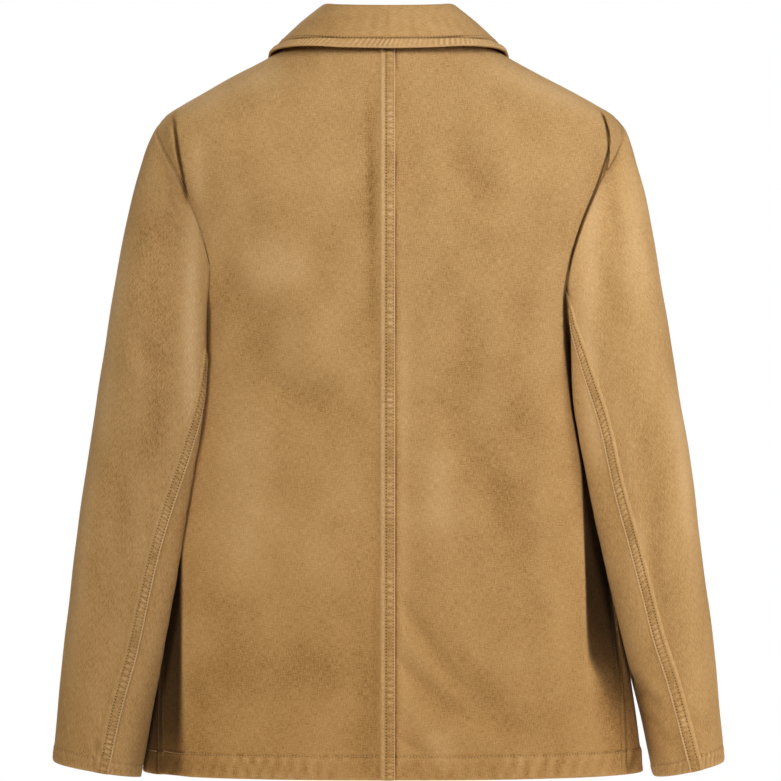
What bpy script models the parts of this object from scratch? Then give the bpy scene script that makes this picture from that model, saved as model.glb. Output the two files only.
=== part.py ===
"""Suit jacket in cotton, hanging as if worn, hollow.

Axes: +Z up, the front faces -Y, the wearer's left is +X. The origin is the centre of the
neck opening at the height of the two neck points. Sizes are in millimetres and are turned
into metres when a piece is made. Every piece of cloth is a wall lofted through sections of
one body form or one sleeve form, so that neighbouring pieces follow each other.
"""

import math

import bmesh
import bpy
import numpy as np
from mathutils import Matrix

GARMENT = "suit_jacket"
MM = 0.001

# ---------------------------------------------------------------- cloth and seams
WALL = 1.6                # cloth wall
COLLAR_WALL = 2.2         # two plies with interlining
HEM_EXTRA = 1.1           # turned-up ply inside the hem and the cuffs
SEAM_GAP = 0.3            # air between two pieces at a seam
FELL_LEFT = 7.5           # the centre back felled band reaches this far to the left
FELL_RIGHT = 6.0          # and this far to the right, where its folded edge lies
FELL_RISE = 1.3           # how far the band stands proud
FELL_STEP = 0.9           # width of the step at its left side
FELL_MIDDLE = 0.8
OVERLAP = 19.0            # each front runs this far past the centre line
LAP_RISE = 3.6            # the left front lies this far out over the right front
LAP_FADE = 42.0           # and comes back to its own form over this width
SHARP_ANGLE = 40.0        # edges that bend by more than this many degrees stay crisp

# ---------------------------------------------------------------- levels on the body
NECK_BACK_Z = -20.0
SHOULDER_Z = -88.0
UNDERARM_Z = -305.0
BREAK_Z = -322.0          # where the lapels begin to turn
HEM_Z = -739.0
SHOULDER_ANGLE = 93.0     # the shoulder seam lies just in front of the ridge

# Body sections: height, half width left and right, depth behind and before the ridge,
# squareness of the back and front halves.
BODY = (
    # z,     left,  right, back,  front, sq_back, sq_front
    (20.0,   54.0,  54.0,  46.0,  50.0,  2.00, 2.00),
    (0.0,    78.0,  78.0,  55.0,  60.0,  2.00, 2.00),
    (-10.0,  92.0,  92.0,  58.5,  64.0,  2.00, 2.00),
    (-20.0,  107.0, 107.0, 62.5,  68.0,  2.02, 2.02),
    (-30.0,  124.0, 124.0, 67.5,  72.0,  2.05, 2.04),
    (-45.0,  152.0, 152.0, 76.0,  78.0,  2.10, 2.06),
    (-60.0,  179.0, 180.0, 83.5,  84.0,  2.18, 2.10),
    (-75.0,  205.0, 207.0, 90.0,  89.0,  2.28, 2.15),
    (-88.0,  224.0, 227.0, 95.0,  93.0,  2.36, 2.20),
    (-103.0, 232.0, 235.0, 99.5,  97.0,  2.45, 2.25),
    (-125.0, 229.0, 232.0, 104.5, 102.0, 2.52, 2.30),
    (-160.0, 217.0, 219.0, 110.0, 108.0, 2.58, 2.35),
    (-200.0, 207.0, 207.0, 113.0, 114.0, 2.52, 2.40),
    (-250.0, 198.5, 198.5, 113.5, 119.0, 2.46, 2.40),
    (-305.0, 195.0, 195.0, 111.0, 120.0, 2.45, 2.35),
    (-370.0, 201.0, 199.0, 107.0, 117.0, 2.46, 2.30),
    (-450.0, 213.0, 210.0, 103.0, 113.0, 2.46, 2.25),
    (-540.0, 225.0, 224.0, 101.0, 109.0, 2.44, 2.20),
    (-640.0, 237.0, 241.0, 100.0, 104.0, 2.38, 2.20),
    (-760.0, 247.0, 257.0, 99.0,  100.0, 2.30, 2.20),
)

# Where the armhole seam runs, step by step from the shoulder to the underarm: turn round
# the armhole, height, and angle from the centre back behind and before.
ARMHOLE = (
    # turn,   z,       back,  front
    (0.0,     -88.0,   93.0,  93.0),
    (15.0,    -93.0,   86.0,  98.5),
    (30.0,    -103.0,  79.0,  103.0),
    (45.0,    -120.0,  71.0,  108.0),
    (60.0,    -143.0,  64.5,  113.0),
    (75.0,    -167.0,  61.0,  117.0),
    (90.0,    -191.0,  58.5,  119.5),
    (105.0,   -214.0,  57.0,  120.0),
    (120.0,   -236.0,  56.5,  119.0),
    (135.0,   -257.0,  58.0,  115.5),
    (150.0,   -275.0,  63.0,  108.5),
    (165.0,   -291.0,  72.5,  98.0),
    (180.0,   -305.0,  85.0,  85.0),
)

# Side seam: height and angle from the centre back.
SIDE_SEAM = (
    # z,      angle
    (-305.0,  85.0),
    (-380.0,  82.5),
    (-460.0,  79.0),
    (-600.0,  71.5),
    (-760.0,  63.0),
)

# Back neck seam: share of the way from the centre back to the neck point, height.
NECKLINE = (
    # share, z
    (0.00,  -20.0),
    (0.20,  -18.0),
    (0.45,  -11.5),
    (0.70,  -4.5),
    (1.00,  0.0),
)

# Roll line of a lapel: height and distance from the centre line.
ROLL_LINE = (
    # z,      x
    (0.0,     78.0),
    (-40.0,   70.0),
    (-100.0,  55.5),
    (-160.0,  39.5),
    (-220.0,  19.5),
    (-268.0,  1.5),
    (-322.0,  -19.0),
)

# Outer edge of a lapel: height and distance from the centre line.
LAPEL_EDGE = (
    # z,      x
    (-90.0,   147.0),
    (-104.0,  138.0),
    (-140.0,  116.0),
    (-190.0,  86.0),
    (-240.0,  53.0),
    (-290.0,  16.0),
    (-322.0,  -12.0),
)
# Lapel rows run from a height on the roll line to a height on the outer edge.
LAPEL_ENDS = {
    # side:  foot roll, foot edge, head roll, head edge
    1.0:     (-317.0,   -320.0,    -50.0,     -90.0),
    -1.0:    (-256.0,   -284.0,    -50.0,     -90.0),
}
LAPEL_LIFT = 3.1          # outer face of the lapel above the front
LAPEL_SPRING = 0.6        # the lapel's outer edge stands this much further out

# Collar guide lines for the left half, from the centre back to the collar's front end.
COLLAR = (
    # share, fold x, y,      z,     edge x, y,      z
    (0.00,   0.0,    56.0,   19.5,  0.0,    84.0,   -26.5),
    (0.15,   27.0,   52.5,   20.0,  42.0,   79.0,   -25.0),
    (0.30,   50.0,   39.0,   22.0,  79.0,   66.5,   -22.0),
    (0.42,   62.5,   20.0,   24.5,  103.0,  44.0,   -20.5),
    (0.52,   66.5,   2.0,    25.0,  117.5,  16.0,   -22.0),
    (0.66,   69.5,   -21.0,  15.5,  121.0,  -17.0,  -25.5),
    (0.77,   70.0,   -41.0,  -3.0,  117.5,  -41.0,  -33.5),
    (0.88,   69.5,   -58.5,  -21.5, 110.5,  -61.5,  -45.5),
    (1.00,   68.0,   -72.5,  -41.0, 101.0,  -77.0,  -61.5),
)
COLLAR_SIDE_SHARE = 0.55  # the neck point's place along the collar
COLLAR_FOLD_RADIUS = 2.6

# Sleeve sections: height, outer and inner limb, back and front limb, squareness.
SLEEVE_LEFT = (
    # z,      outer,  inner,  back,  front,   square
    (-70.0,   216.0,  150.0,  22.0,  -30.0,   2.1),
    (-88.0,   226.5,  152.0,  30.0,  -38.0,   2.1),
    (-100.0,  234.5,  154.0,  37.0,  -45.0,   2.1),
    (-115.0,  241.0,  155.0,  47.0,  -53.0,   2.2),
    (-135.0,  247.5,  155.0,  60.0,  -61.0,   2.3),
    (-165.0,  255.0,  154.0,  75.0,  -69.0,   2.6),
    (-205.0,  263.0,  152.0,  86.0,  -74.0,   3.0),
    (-255.0,  271.5,  150.0,  90.0,  -76.0,   3.3),
    (-305.0,  280.0,  153.0,  88.0,  -75.0,   3.2),
    (-360.0,  288.5,  161.0,  82.0,  -72.0,   3.1),
    (-430.0,  299.5,  174.0,  75.0,  -67.0,   3.0),
    (-520.0,  312.0,  188.0,  68.0,  -59.0,   2.9),
    (-610.0,  322.5,  206.0,  63.0,  -49.0,   2.6),
    (-680.0,  330.0,  225.0,  59.0,  -40.0,   2.3),
    (-745.0,  335.0,  243.0,  55.0,  -34.0,   2.2),
)
SLEEVE_RIGHT = (
    # z,      outer,  inner,  back,  front,   square
    (-70.0,   218.0,  150.0,  20.0,  -30.0,   2.1),
    (-88.0,   229.0,  152.0,  27.0,  -38.0,   2.1),
    (-100.0,  238.0,  154.0,  33.0,  -45.0,   2.1),
    (-115.0,  243.5,  157.0,  42.0,  -53.0,   2.2),
    (-135.0,  249.0,  160.0,  54.0,  -61.0,   2.3),
    (-165.0,  256.5,  162.0,  64.0,  -69.0,   2.5),
    (-205.0,  264.0,  161.0,  71.0,  -75.0,   2.7),
    (-255.0,  272.0,  159.0,  75.0,  -78.0,   2.8),
    (-305.0,  280.5,  160.0,  76.0,  -78.0,   2.8),
    (-360.0,  289.0,  164.0,  75.0,  -74.0,   2.8),
    (-430.0,  300.0,  177.0,  72.0,  -68.0,   2.6),
    (-520.0,  312.0,  200.0,  66.0,  -60.0,   2.5),
    (-610.0,  324.0,  226.0,  60.0,  -52.0,   2.3),
    (-680.0,  330.5,  249.0,  56.0,  -46.0,   2.2),
    (-745.0,  336.0,  264.0,  53.0,  -41.0,   2.2),
)

# Felled sleeve seam: height and distance from the centre line, as seen from behind.
FELL_SLEEVE_LEFT = (
    # z,      x
    (-280.0,  176.0),
    (-360.0,  186.0),
    (-410.0,  199.0),
    (-475.0,  221.0),
    (-520.0,  234.5),
    (-570.0,  246.0),
    (-615.0,  256.0),
    (-665.0,  270.0),
    (-745.0,  288.0),
)
FELL_SLEEVE_RIGHT = (
    # z,      x
    (-280.0,  177.5),
    (-335.0,  196.0),
    (-390.0,  214.0),
    (-453.0,  228.5),
    (-507.0,  243.5),
    (-550.0,  255.0),
    (-600.0,  268.0),
    (-645.0,  283.0),
    (-745.0,  310.0),
)
SEAM_START = 135.0        # angle at which the felled seam meets the armhole
SEAM_RANGE = (60.0, 150.0)    # the seam is looked for between these angles
SEAM_HALVINGS = 14
SEAM_LEAD = 0.12          # share of the sleeve over which it settles on its line
FRONT_SLEEVE_SEAM = -135.0    # angle of the hidden seam at the front of the sleeve
UNDERARM_GAP = 0.8        # air between the body and the sleeve's edge under the arm
CLEAR_SHARE = 0.05        # share of the sleeve over which it settles clear of the body
SLEEVE_SOFTNESS = 4.0     # roundness where the sleeve meets that clearance
CAP_FADE = 0.34               # share of the sleeve over which it leaves the armhole's shape
SLEEVE_CLEARANCE = 2.4        # air between the sleeve and the body below the underarm
LOOP_STEP = 1.5               # degrees used to find the armhole's direction
RING_STEP = 1.2               # degrees and share of the length used to find a normal
LENGTH_STEP = 0.004
ARM_CENTRE_X = 215.0          # middle of the armhole
ARM_CENTRE_Z = -196.0
UNDER_START = 0.35            # how far down the armhole, as a cosine, the underarm begins
UNDER_SPAN = 0.60             # and over how much it is reached
CUFF_ROW = 0.973              # rows past this share of the length lie in the turned-up cuff
CUFF_Z = -736.0
CUFF_TILT = 16.0              # the cuff's inner side hangs lower than its outer side

# Drape fold beside the back armhole: height, lift on the left and right, crest's angle.
BACK_FOLD = (
    # z,      left,  right, angle
    (-60.0,   0.0,   0.0,   66.0),
    (-100.0,  2.8,   2.2,   63.0),
    (-136.0,  3.6,   3.8,   60.0),
    (-164.0,  2.4,   4.4,   56.5),
    (-200.0,  0.6,   4.2,   53.0),
    (-237.0,  0.0,   3.8,   51.5),
    (-273.0,  0.0,   3.2,   51.5),
    (-307.0,  0.0,   2.4,   53.5),
    (-363.0,  0.0,   1.6,   54.0),
    (-430.0,  0.0,   1.8,   54.0),
    (-490.0,  0.2,   2.0,   53.5),
    (-560.0,  1.2,   2.2,   52.0),
    (-640.0,  1.8,   2.2,   50.0),
    (-700.0,  1.2,   1.4,   49.0),
    (-745.0,  0.6,   0.6,   49.0),
)
BACK_FOLD_INNER = 16.0    # degrees over which the lift dies out towards the centre
BACK_FOLD_OUTER = 4.0     # and towards the seam

# Buttons: name and height on the centre line.
BUTTONS = (
    # name,            z
    ("button_top",     -346.0),
    ("button_middle",  -446.0),
    ("button_bottom",  -546.0),
)
BUTTON_RADIUS = 10.0
BUTTON_THICK = 3.0
BUTTON_RIM = 2.2
BUTTON_EDGE = 1.0         # rounding of its rim
BUTTON_DISH = 0.7
BUTTON_HOLE_RADIUS = 0.95
BUTTON_HOLE_SPREAD = 2.1
BUTTON_SEGMENTS = 28
BUTTON_HOLE_SEGMENTS = 10
BUTTON_STAND_OFF = 0.35   # thread length between the button and the cloth
BUTTON_SHARP_ANGLE = 32.0

# Colours and finishes: base colour, roughness.
LOOKS = {
    "cloth":  ((0.46, 0.30, 0.145), 0.92),
    "button": ((0.20, 0.115, 0.055), 0.42),
}


# ---------------------------------------------------------------- tables and small sums
def smooth_table(rows, column):
    """Return a function of the first column that passes smoothly through another column."""
    ordered = sorted(rows, key=lambda row: row[0])
    xs = np.array([row[0] for row in ordered], dtype=float)
    ys = np.array([row[column] for row in ordered], dtype=float)
    steps = np.diff(xs)
    slopes = np.diff(ys) / steps
    tangents = np.empty(len(xs))
    tangents[0] = slopes[0]
    tangents[-1] = slopes[-1]
    for k in range(1, len(xs) - 1):
        before, after = slopes[k - 1], slopes[k]
        if before * after <= 0.0:
            tangents[k] = 0.0
        else:
            w_before = 2.0 * steps[k] + steps[k - 1]
            w_after = steps[k] + 2.0 * steps[k - 1]
            tangents[k] = (w_before + w_after) / (w_before / before + w_after / after)

    def value(x):
        x = min(max(x, xs[0]), xs[-1])
        k = min(int(np.searchsorted(xs, x, side="right")) - 1, len(xs) - 2)
        h = steps[k]
        t = (x - xs[k]) / h
        return float(
            (2 * t**3 - 3 * t**2 + 1) * ys[k]
            + (t**3 - 2 * t**2 + t) * h * tangents[k]
            + (3 * t**2 - 2 * t**3) * ys[k + 1]
            + (t**3 - t**2) * h * tangents[k + 1]
        )

    return value


def mix(a, b, t):
    return a + (b - a) * t


def ease(t):
    t = min(max(t, 0.0), 1.0)
    return t * t * (3.0 - 2.0 * t)


def unit(vector):
    return vector / np.linalg.norm(vector)


def squircle(angle, power):
    """Point of a unit superellipse in the direction of an angle, as (cosine, sine)."""
    c = math.cos(angle)
    s = math.sin(angle)
    scale = (abs(c) ** power + abs(s) ** power) ** (-1.0 / power)
    return c * scale, s * scale


def squircle_angle(share, power):
    """Angle at which a unit superellipse has the given sine side, below a quarter turn."""
    share = min(max(share, -0.9999), 0.9999)
    rest = (1.0 - abs(share) ** power) ** (1.0 / power)
    return math.atan2(share, rest)


# ---------------------------------------------------------------- the body form
ANGLE_STEP = 0.4          # degrees and millimetres used to find a normal
HEIGHT_STEP = 1.0
body_left = smooth_table(BODY, 1)
body_right = smooth_table(BODY, 2)
body_back = smooth_table(BODY, 3)
body_front = smooth_table(BODY, 4)
body_square_back = smooth_table(BODY, 5)
body_square_front = smooth_table(BODY, 6)
armhole_height = smooth_table(ARMHOLE, 1)
armhole_back = smooth_table(ARMHOLE, 2)
armhole_front = smooth_table(ARMHOLE, 3)
side_seam = smooth_table(SIDE_SEAM, 1)
neckline = smooth_table(NECKLINE, 1)
roll_line = smooth_table(ROLL_LINE, 1)
lapel_edge = smooth_table(LAPEL_EDGE, 1)
fold_left = smooth_table(BACK_FOLD, 1)
fold_right = smooth_table(BACK_FOLD, 2)
fold_angle = smooth_table(BACK_FOLD, 3)


def body_half(z, side):
    return body_left(z) if side > 0 else body_right(z)


def body_plain(angle, z, side):
    """Point of the body form; the angle is in degrees from the centre back to the front."""
    a = math.radians(angle)
    at_back = math.cos(a) >= 0.0
    power = body_square_back(z) if at_back else body_square_front(z)
    depth = body_back(z) if at_back else body_front(z)
    c, s = squircle(a, power)
    return np.array((side * body_half(z, side) * s, depth * c, z))


def drape_lift(angle, z, side):
    """How far the drape fold beside the back armhole stands out."""
    off = angle - fold_angle(z)
    width = BACK_FOLD_OUTER if off > 0.0 else BACK_FOLD_INNER
    lift = fold_left(z) if side > 0 else fold_right(z)
    return lift * ease(1.0 - abs(off) / width)


def body_point(angle, z, side):
    point = body_plain(angle, z, side)
    point[1] += drape_lift(angle, z, side)
    return point


def surface_normal(surface, u, v, outward, step_u, step_v):
    """Normal of a surface function by differences, turned towards a given direction."""
    along_u = surface(u + step_u, v) - surface(u - step_u, v)
    along_v = surface(u, v + step_v) - surface(u, v - step_v)
    normal = unit(np.cross(along_u, along_v))
    return normal if float(np.dot(normal, outward)) >= 0.0 else -normal


def body_normal(angle, z, side):
    point = body_point(angle, z, side)
    outward = np.array((point[0], point[1], 0.0))
    return surface_normal(
        lambda a, h: body_point(a, h, side), angle, z, outward, ANGLE_STEP, HEIGHT_STEP
    )


def back_angle_at(x, z, side):
    """Angle of the back half at a signed distance from the centre line."""
    half = body_half(z, side)
    return math.degrees(squircle_angle(x * side / half, body_square_back(z)))


def front_angle_at(x, z, side):
    """Angle of the front half at a signed distance from the centre line."""
    half = body_half(z, side)
    return 180.0 - math.degrees(squircle_angle(x * side / half, body_square_front(z)))


# ---------------------------------------------------------------- making a wall of cloth
def cloth_material(slot):
    material = bpy.data.materials.get(slot)
    if material is None:
        colour, roughness = LOOKS[slot.rsplit(".", 1)[-1]]
        material = bpy.data.materials.new(slot)
        material.use_nodes = True
        shader = material.node_tree.nodes["Principled BSDF"]
        shader.inputs["Base Color"].default_value = (*colour, 1.0)
        shader.inputs["Roughness"].default_value = roughness
        shader.inputs["Metallic"].default_value = 0.0
    return material


def add_object(name, mesh, look, collection):
    body = bpy.data.objects.new(name, mesh)
    collection.objects.link(body)
    mesh.materials.clear()
    mesh.materials.append(cloth_material(name + "." + look))
    return body


def wall(name, rows, collection):
    """Close a grid of (outer point, normal, thickness) into one solid wall."""
    bm = bmesh.new()
    outer = []
    inner = []
    for row in rows:
        outer.append([bm.verts.new((p * MM).tolist()) for p, n, t in row])
        inner.append([bm.verts.new(((p - n * t) * MM).tolist()) for p, n, t in row])
    last_r = len(rows) - 1
    last_c = len(rows[0]) - 1
    for r in range(last_r):
        for c in range(last_c):
            bm.faces.new((outer[r][c], outer[r][c + 1], outer[r + 1][c + 1], outer[r + 1][c]))
            bm.faces.new((inner[r][c], inner[r + 1][c], inner[r + 1][c + 1], inner[r][c + 1]))
    for c in range(last_c):
        bm.faces.new((outer[0][c + 1], outer[0][c], inner[0][c], inner[0][c + 1]))
        bm.faces.new((outer[last_r][c], outer[last_r][c + 1],
                      inner[last_r][c + 1], inner[last_r][c]))
    for r in range(last_r):
        bm.faces.new((outer[r][0], outer[r + 1][0], inner[r + 1][0], inner[r][0]))
        bm.faces.new((outer[r + 1][last_c], outer[r][last_c],
                      inner[r][last_c], inner[r + 1][last_c]))
    bmesh.ops.recalc_face_normals(bm, faces=bm.faces)
    if bm.calc_volume(signed=True) < 0.0:
        bmesh.ops.reverse_faces(bm, faces=bm.faces)
    mesh = bpy.data.meshes.new(name)
    bm.to_mesh(mesh)
    bm.free()
    mesh.shade_smooth()
    mesh.set_sharp_from_angle(angle=math.radians(SHARP_ANGLE))
    return add_object(name, mesh, "cloth", collection)


# ---------------------------------------------------------------- backs and fronts
TOP_FADE = 4.0            # power by which the top border's shape dies out down a panel


def coons(left, right, top, bottom, u, v):
    """Blend four border lines, each a function of 0..1 giving (angle, height)."""
    sides = (1.0 - u) * left(v) + u * right(v)
    top_bend = top(u) - (1.0 - u) * top(0.0) - u * top(1.0)
    bottom_bend = bottom(u) - (1.0 - u) * bottom(0.0) - u * bottom(1.0)
    return sides + (1.0 - v) ** TOP_FADE * top_bend + v * bottom_bend


ARM_STATIONS = 12         # steps down each half of the armhole, shared with the sleeve
ARM_SHARE = 0.36          # share of a panel's length taken by the armhole
NECK_SHARE = 0.40         # share of the back's top edge taken by the neckline
HALF_GAP = SEAM_GAP / 2.0
HALF_TURN = 180.0
GAP_START = 165.0         # turn past which the side seam's gap opens at the underarm
SHOULDER_MIDDLE_Z = -40.0
NECK_STATIONS = (0.0, 0.05, 0.20, 0.32, 0.44, 0.56, 0.68, 0.80, 0.90, 1.0)
SHOULDER_STATIONS = (0.16, 0.32, 0.47, 0.61, 0.74, 0.87, 1.0)
LOWER_ROWS = (0.40, 0.45, 0.50, 0.56, 0.62, 0.68, 0.74, 0.80, 0.86, 0.92, 0.968, 0.9705,
              1.0)
HEM_ROW = 0.969           # rows past this share of the length lie in the turned-up hem
BACK_COLUMNS = tuple(NECK_SHARE * s for s in NECK_STATIONS[2:]) + tuple(
    NECK_SHARE + (1.0 - NECK_SHARE) * s for s in SHOULDER_STATIONS)
BAND_COLUMNS_LEFT = (-FELL_RIGHT, FELL_MIDDLE, FELL_LEFT, FELL_LEFT + FELL_STEP)
BAND_COLUMNS_RIGHT = (FELL_RIGHT + SEAM_GAP, FELL_LEFT + FELL_STEP)
FRONT_COLUMNS = (0.0, 0.07, 0.15, 0.24, 0.33, 0.43, 0.53, 0.63, 0.73, 0.82, 0.91, 1.0)
PANEL_ROWS = tuple(ARM_SHARE * k / ARM_STATIONS
                   for k in range(ARM_STATIONS + 1)) + LOWER_ROWS


def side_border(v, arm_table, gap_sign):
    """Outer border of a panel: down the armhole, then down the side seam."""
    if v <= ARM_SHARE:
        turn = HALF_TURN * v / ARM_SHARE
        z = armhole_height(turn)
        opening = ease((turn - GAP_START) / (HALF_TURN - GAP_START))
        gap = math.degrees(HALF_GAP / body_back(z)) * opening
        return np.array((arm_table(turn) + gap_sign * gap, z))
    z = mix(UNDERARM_Z, HEM_Z, (v - ARM_SHARE) / (1.0 - ARM_SHARE))
    gap = math.degrees(HALF_GAP / body_back(z))
    return np.array((side_seam(z) + gap_sign * gap, z))


def back_panel(side, collection):
    """Half back; its first columns run straight down beside the centre line."""
    name = "back_left" if side > 0 else "back_right"
    band = BAND_COLUMNS_LEFT if side > 0 else BAND_COLUMNS_RIGHT

    def angle_at(x, z):
        return back_angle_at(side * x, z, side)

    seam_angle = SHOULDER_ANGLE - math.degrees(HALF_GAP / body_back(SHOULDER_MIDDLE_Z))

    def top(u):
        if u <= NECK_SHARE:
            share = u / NECK_SHARE
            return np.array((min(SHOULDER_ANGLE * share, seam_angle), neckline(share)))
        share = (u - NECK_SHARE) / (1.0 - NECK_SHARE)
        return np.array((seam_angle, mix(0.0, SHOULDER_Z, share)))

    def left(v):
        return np.array((0.0, mix(NECK_BACK_Z, HEM_Z, v)))

    seam_side = side_seam(HEM_Z) - math.degrees(HALF_GAP / body_back(HEM_Z))

    def bottom(u):
        return np.array((seam_side * u, HEM_Z))

    def right(v):
        border = side_border(v, armhole_back, -1.0)
        border[0] = min(border[0], seam_angle)
        return border

    rows = []
    for v in PANEL_ROWS:
        row = []
        places = []
        for x in band:
            start = left(v)[1]
            share = abs(angle_at(x, start)) / SHOULDER_ANGLE
            z = start + (neckline(share) - NECK_BACK_Z) * (1.0 - v) ** TOP_FADE
            places.append((angle_at(x, z), z))
        for u in BACK_COLUMNS:
            places.append(tuple(coons(left, right, top, bottom, u, v)))
        for c, (angle, z) in enumerate(places):
            point = body_point(angle, z, side)
            normal = body_normal(angle, z, side)
            thick = WALL
            if side > 0 and c < len(band) - 1:
                point = point + normal * FELL_RISE
                thick += FELL_RISE
            if v > HEM_ROW:
                thick += HEM_EXTRA
            row.append((point, normal, thick))
        rows.append(row)
    return wall(name, rows, collection)


def lap_out(point, side):
    """The left front's lift over the right front, dying out away from the centre line."""
    if side < 0:
        return 0.0
    reach = (point[0] - OVERLAP) / LAP_FADE
    return LAP_RISE * (1.0 - ease(reach))


def front_point(angle, z, side):
    plain = body_plain(angle, z, side)
    lift = lap_out(plain, side)
    plain[1] -= lift
    return plain


def front_normal(angle, z, side):
    point = front_point(angle, z, side)
    outward = np.array((point[0], point[1], 0.0))
    return surface_normal(
        lambda a, h: front_point(a, h, side), angle, z, outward, ANGLE_STEP, HEIGHT_STEP
    )


ROLL_SHARE = 0.42         # share of the front's length taken by the roll line
ROLL_EASE = 1.6           # rows crowd towards the neck point by this power


def front_edge_x(z):
    """Distance of the front's free edge from the centre line; negative past the centre."""
    return roll_line(z) if z > BREAK_Z else -OVERLAP


def front_panel(side, collection):
    name = "front_left" if side > 0 else "front_right"
    seam_angle = SHOULDER_ANGLE + math.degrees(HALF_GAP / body_front(SHOULDER_MIDDLE_Z))

    def left(v):
        if v <= ROLL_SHARE:
            z = BREAK_Z * (v / ROLL_SHARE) ** ROLL_EASE
            angle = front_angle_at(side * front_edge_x(z), z, side)
            return np.array((max(angle, seam_angle), z))
        z = mix(BREAK_Z, HEM_Z, (v - ROLL_SHARE) / (1.0 - ROLL_SHARE))
        return np.array((front_angle_at(-side * OVERLAP, z, side), z))

    def top(u):
        return np.array((seam_angle, mix(0.0, SHOULDER_Z, u)))

    seam_side = side_seam(HEM_Z) + math.degrees(HALF_GAP / body_back(HEM_Z))
    edge_hem = front_angle_at(-side * OVERLAP, HEM_Z, side)

    def bottom(u):
        return np.array((mix(edge_hem, seam_side, u), HEM_Z))

    def right(v):
        border = side_border(v, armhole_front, 1.0)
        border[0] = max(border[0], seam_angle) if v < 0.5 * ARM_SHARE else border[0]
        return border

    rows = []
    for v in PANEL_ROWS:
        row = []
        for u in FRONT_COLUMNS:
            angle, z = coons(left, right, top, bottom, u, v)
            point = front_point(angle, z, side)
            normal = front_normal(angle, z, side)
            thick = WALL
            if v > HEM_ROW:
                thick += HEM_EXTRA
            row.append((point, normal, thick))
        rows.append(row)
    return wall(name, rows, collection)


# ---------------------------------------------------------------- lapels
LAPEL_ROLL_RADIUS = 2.5   # outer radius of the turned edge
LAPEL_ROLL_CENTRE = 0.3   # its centre lies this far inside the front's edge
LAPEL_ROLL_ANGLES = (198.0, 162.0, 126.0, 95.0)
LAPEL_ACROSS = (0.14, 0.32, 0.52, 0.76, 1.0)
LAPEL_ROWS = 17


def lapel(side, collection):
    """Turned-back front edge: a curl round the front's edge, then a flat leaf."""
    name = "lapel_left" if side > 0 else "lapel_right"
    foot_roll, foot_edge, head_roll, head_edge = LAPEL_ENDS[side]
    rows = []
    for k in range(LAPEL_ROWS):
        share = k / (LAPEL_ROWS - 1)
        z_roll = mix(foot_roll, head_roll, share)
        z_edge = mix(foot_edge, head_edge, share)
        x_roll = front_edge_x(z_roll)
        x_edge = lapel_edge(z_edge)
        spots = []
        for turn in LAPEL_ROLL_ANGLES:
            a = math.radians(turn)
            spots.append((x_roll + LAPEL_ROLL_CENTRE + LAPEL_ROLL_RADIUS * math.cos(a),
                          z_roll, LAPEL_ROLL_RADIUS * math.sin(a), a))
        for part in LAPEL_ACROSS:
            spots.append((mix(x_roll, x_edge, part), mix(z_roll, z_edge, part),
                          mix(LAPEL_LIFT, LAPEL_LIFT + LAPEL_SPRING, part), math.radians(90.0)))
        row = []
        for x, z, out, turn in spots:
            angle = front_angle_at(side * x, z, side)
            base = front_point(angle, z, side)
            normal = front_normal(angle, z, side)
            inward = unit(np.cross(normal, np.array((0.0, 0.0, 1.0))))
            if inward[0] * side < 0.0:
                inward = -inward
            facing = unit(math.cos(turn) * inward + math.sin(turn) * normal)
            row.append((base + normal * out, facing, WALL))
        rows.append(row)
    return wall(name, rows, collection)


# ---------------------------------------------------------------- collar
COLLAR_FRONT_ROWS = 4     # the collar ends at this row of the front panel
COLLAR_STAND_STEPS = (0.0, 0.3, 0.65, 1.0)
COLLAR_FOLD_STEPS = (0.25, 0.5, 0.75)
COLLAR_FALL_STEPS = (0.0, 0.2, 0.45, 0.72, 1.0)
COLLAR_BOW = 1.6          # the fall's roundness
COLLAR_INSET = 1.9        # the stand's neck side lies this far inside the panels' outer face
COLLAR_SEAT_GAP = 0.4     # air between the stand's foot and the panels' edge
COLLAR_TURN_SHARE = 0.63  # share of the stand over which it turns out of the panels' face
SEAT_STEP = 0.02          # share of the collar used to find the seat's direction
NECK_CENTRE = (0.0, 0.0, 40.0)    # point the stand's foot leans towards, seen from the seat


def collar_seat(share):
    """Foot of the collar on the panels' edge: point, panel normal, direction off the edge."""
    if share <= COLLAR_SIDE_SHARE:
        def edge(s):
            part = s / COLLAR_SIDE_SHARE
            angle = SHOULDER_ANGLE * part
            return body_plain(angle, neckline(abs(part)), 1.0)
        angle = SHOULDER_ANGLE * share / COLLAR_SIDE_SHARE
        z = neckline(share / COLLAR_SIDE_SHARE)
    else:
        def edge(s):
            part = max(s - COLLAR_SIDE_SHARE, 0.0) / (1.0 - COLLAR_SIDE_SHARE)
            height = collar_front_z(part)
            return body_plain(max(front_angle_at(roll_line(height), height, 1.0),
                                  SHOULDER_ANGLE), height, 1.0)
        z = collar_front_z((share - COLLAR_SIDE_SHARE) / (1.0 - COLLAR_SIDE_SHARE))
        angle = max(front_angle_at(roll_line(z), z, 1.0), SHOULDER_ANGLE)
    here = body_plain(angle, z, 1.0)
    run = edge(min(share + SEAT_STEP, 1.0)) - edge(share - SEAT_STEP)
    normal = body_normal(angle, z, 1.0)
    off = unit(np.cross(run, normal))
    inward = np.array(NECK_CENTRE) - here * np.array((1.0, 1.0, 0.0))
    if float(np.dot(off, inward)) < 0.0:
        off = -off
    return here, normal, off


def collar_front_z(part):
    """Height on the front's edge for a share of the collar's front run."""
    v = part * COLLAR_FRONT_ROWS * ARM_SHARE / ARM_STATIONS
    return BREAK_Z * (v / ROLL_SHARE) ** ROLL_EASE


def tangent_point(spot, centre, radius, turn):
    """Where a line from a spot touches a circle, on the side given by the turn's sign."""
    away = spot - centre
    reach = math.hypot(away[0], away[1])
    angle = math.atan2(away[1], away[0]) + turn * math.acos(min(radius / reach, 1.0))
    return angle, centre + radius * np.array((math.cos(angle), math.sin(angle)))


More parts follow.
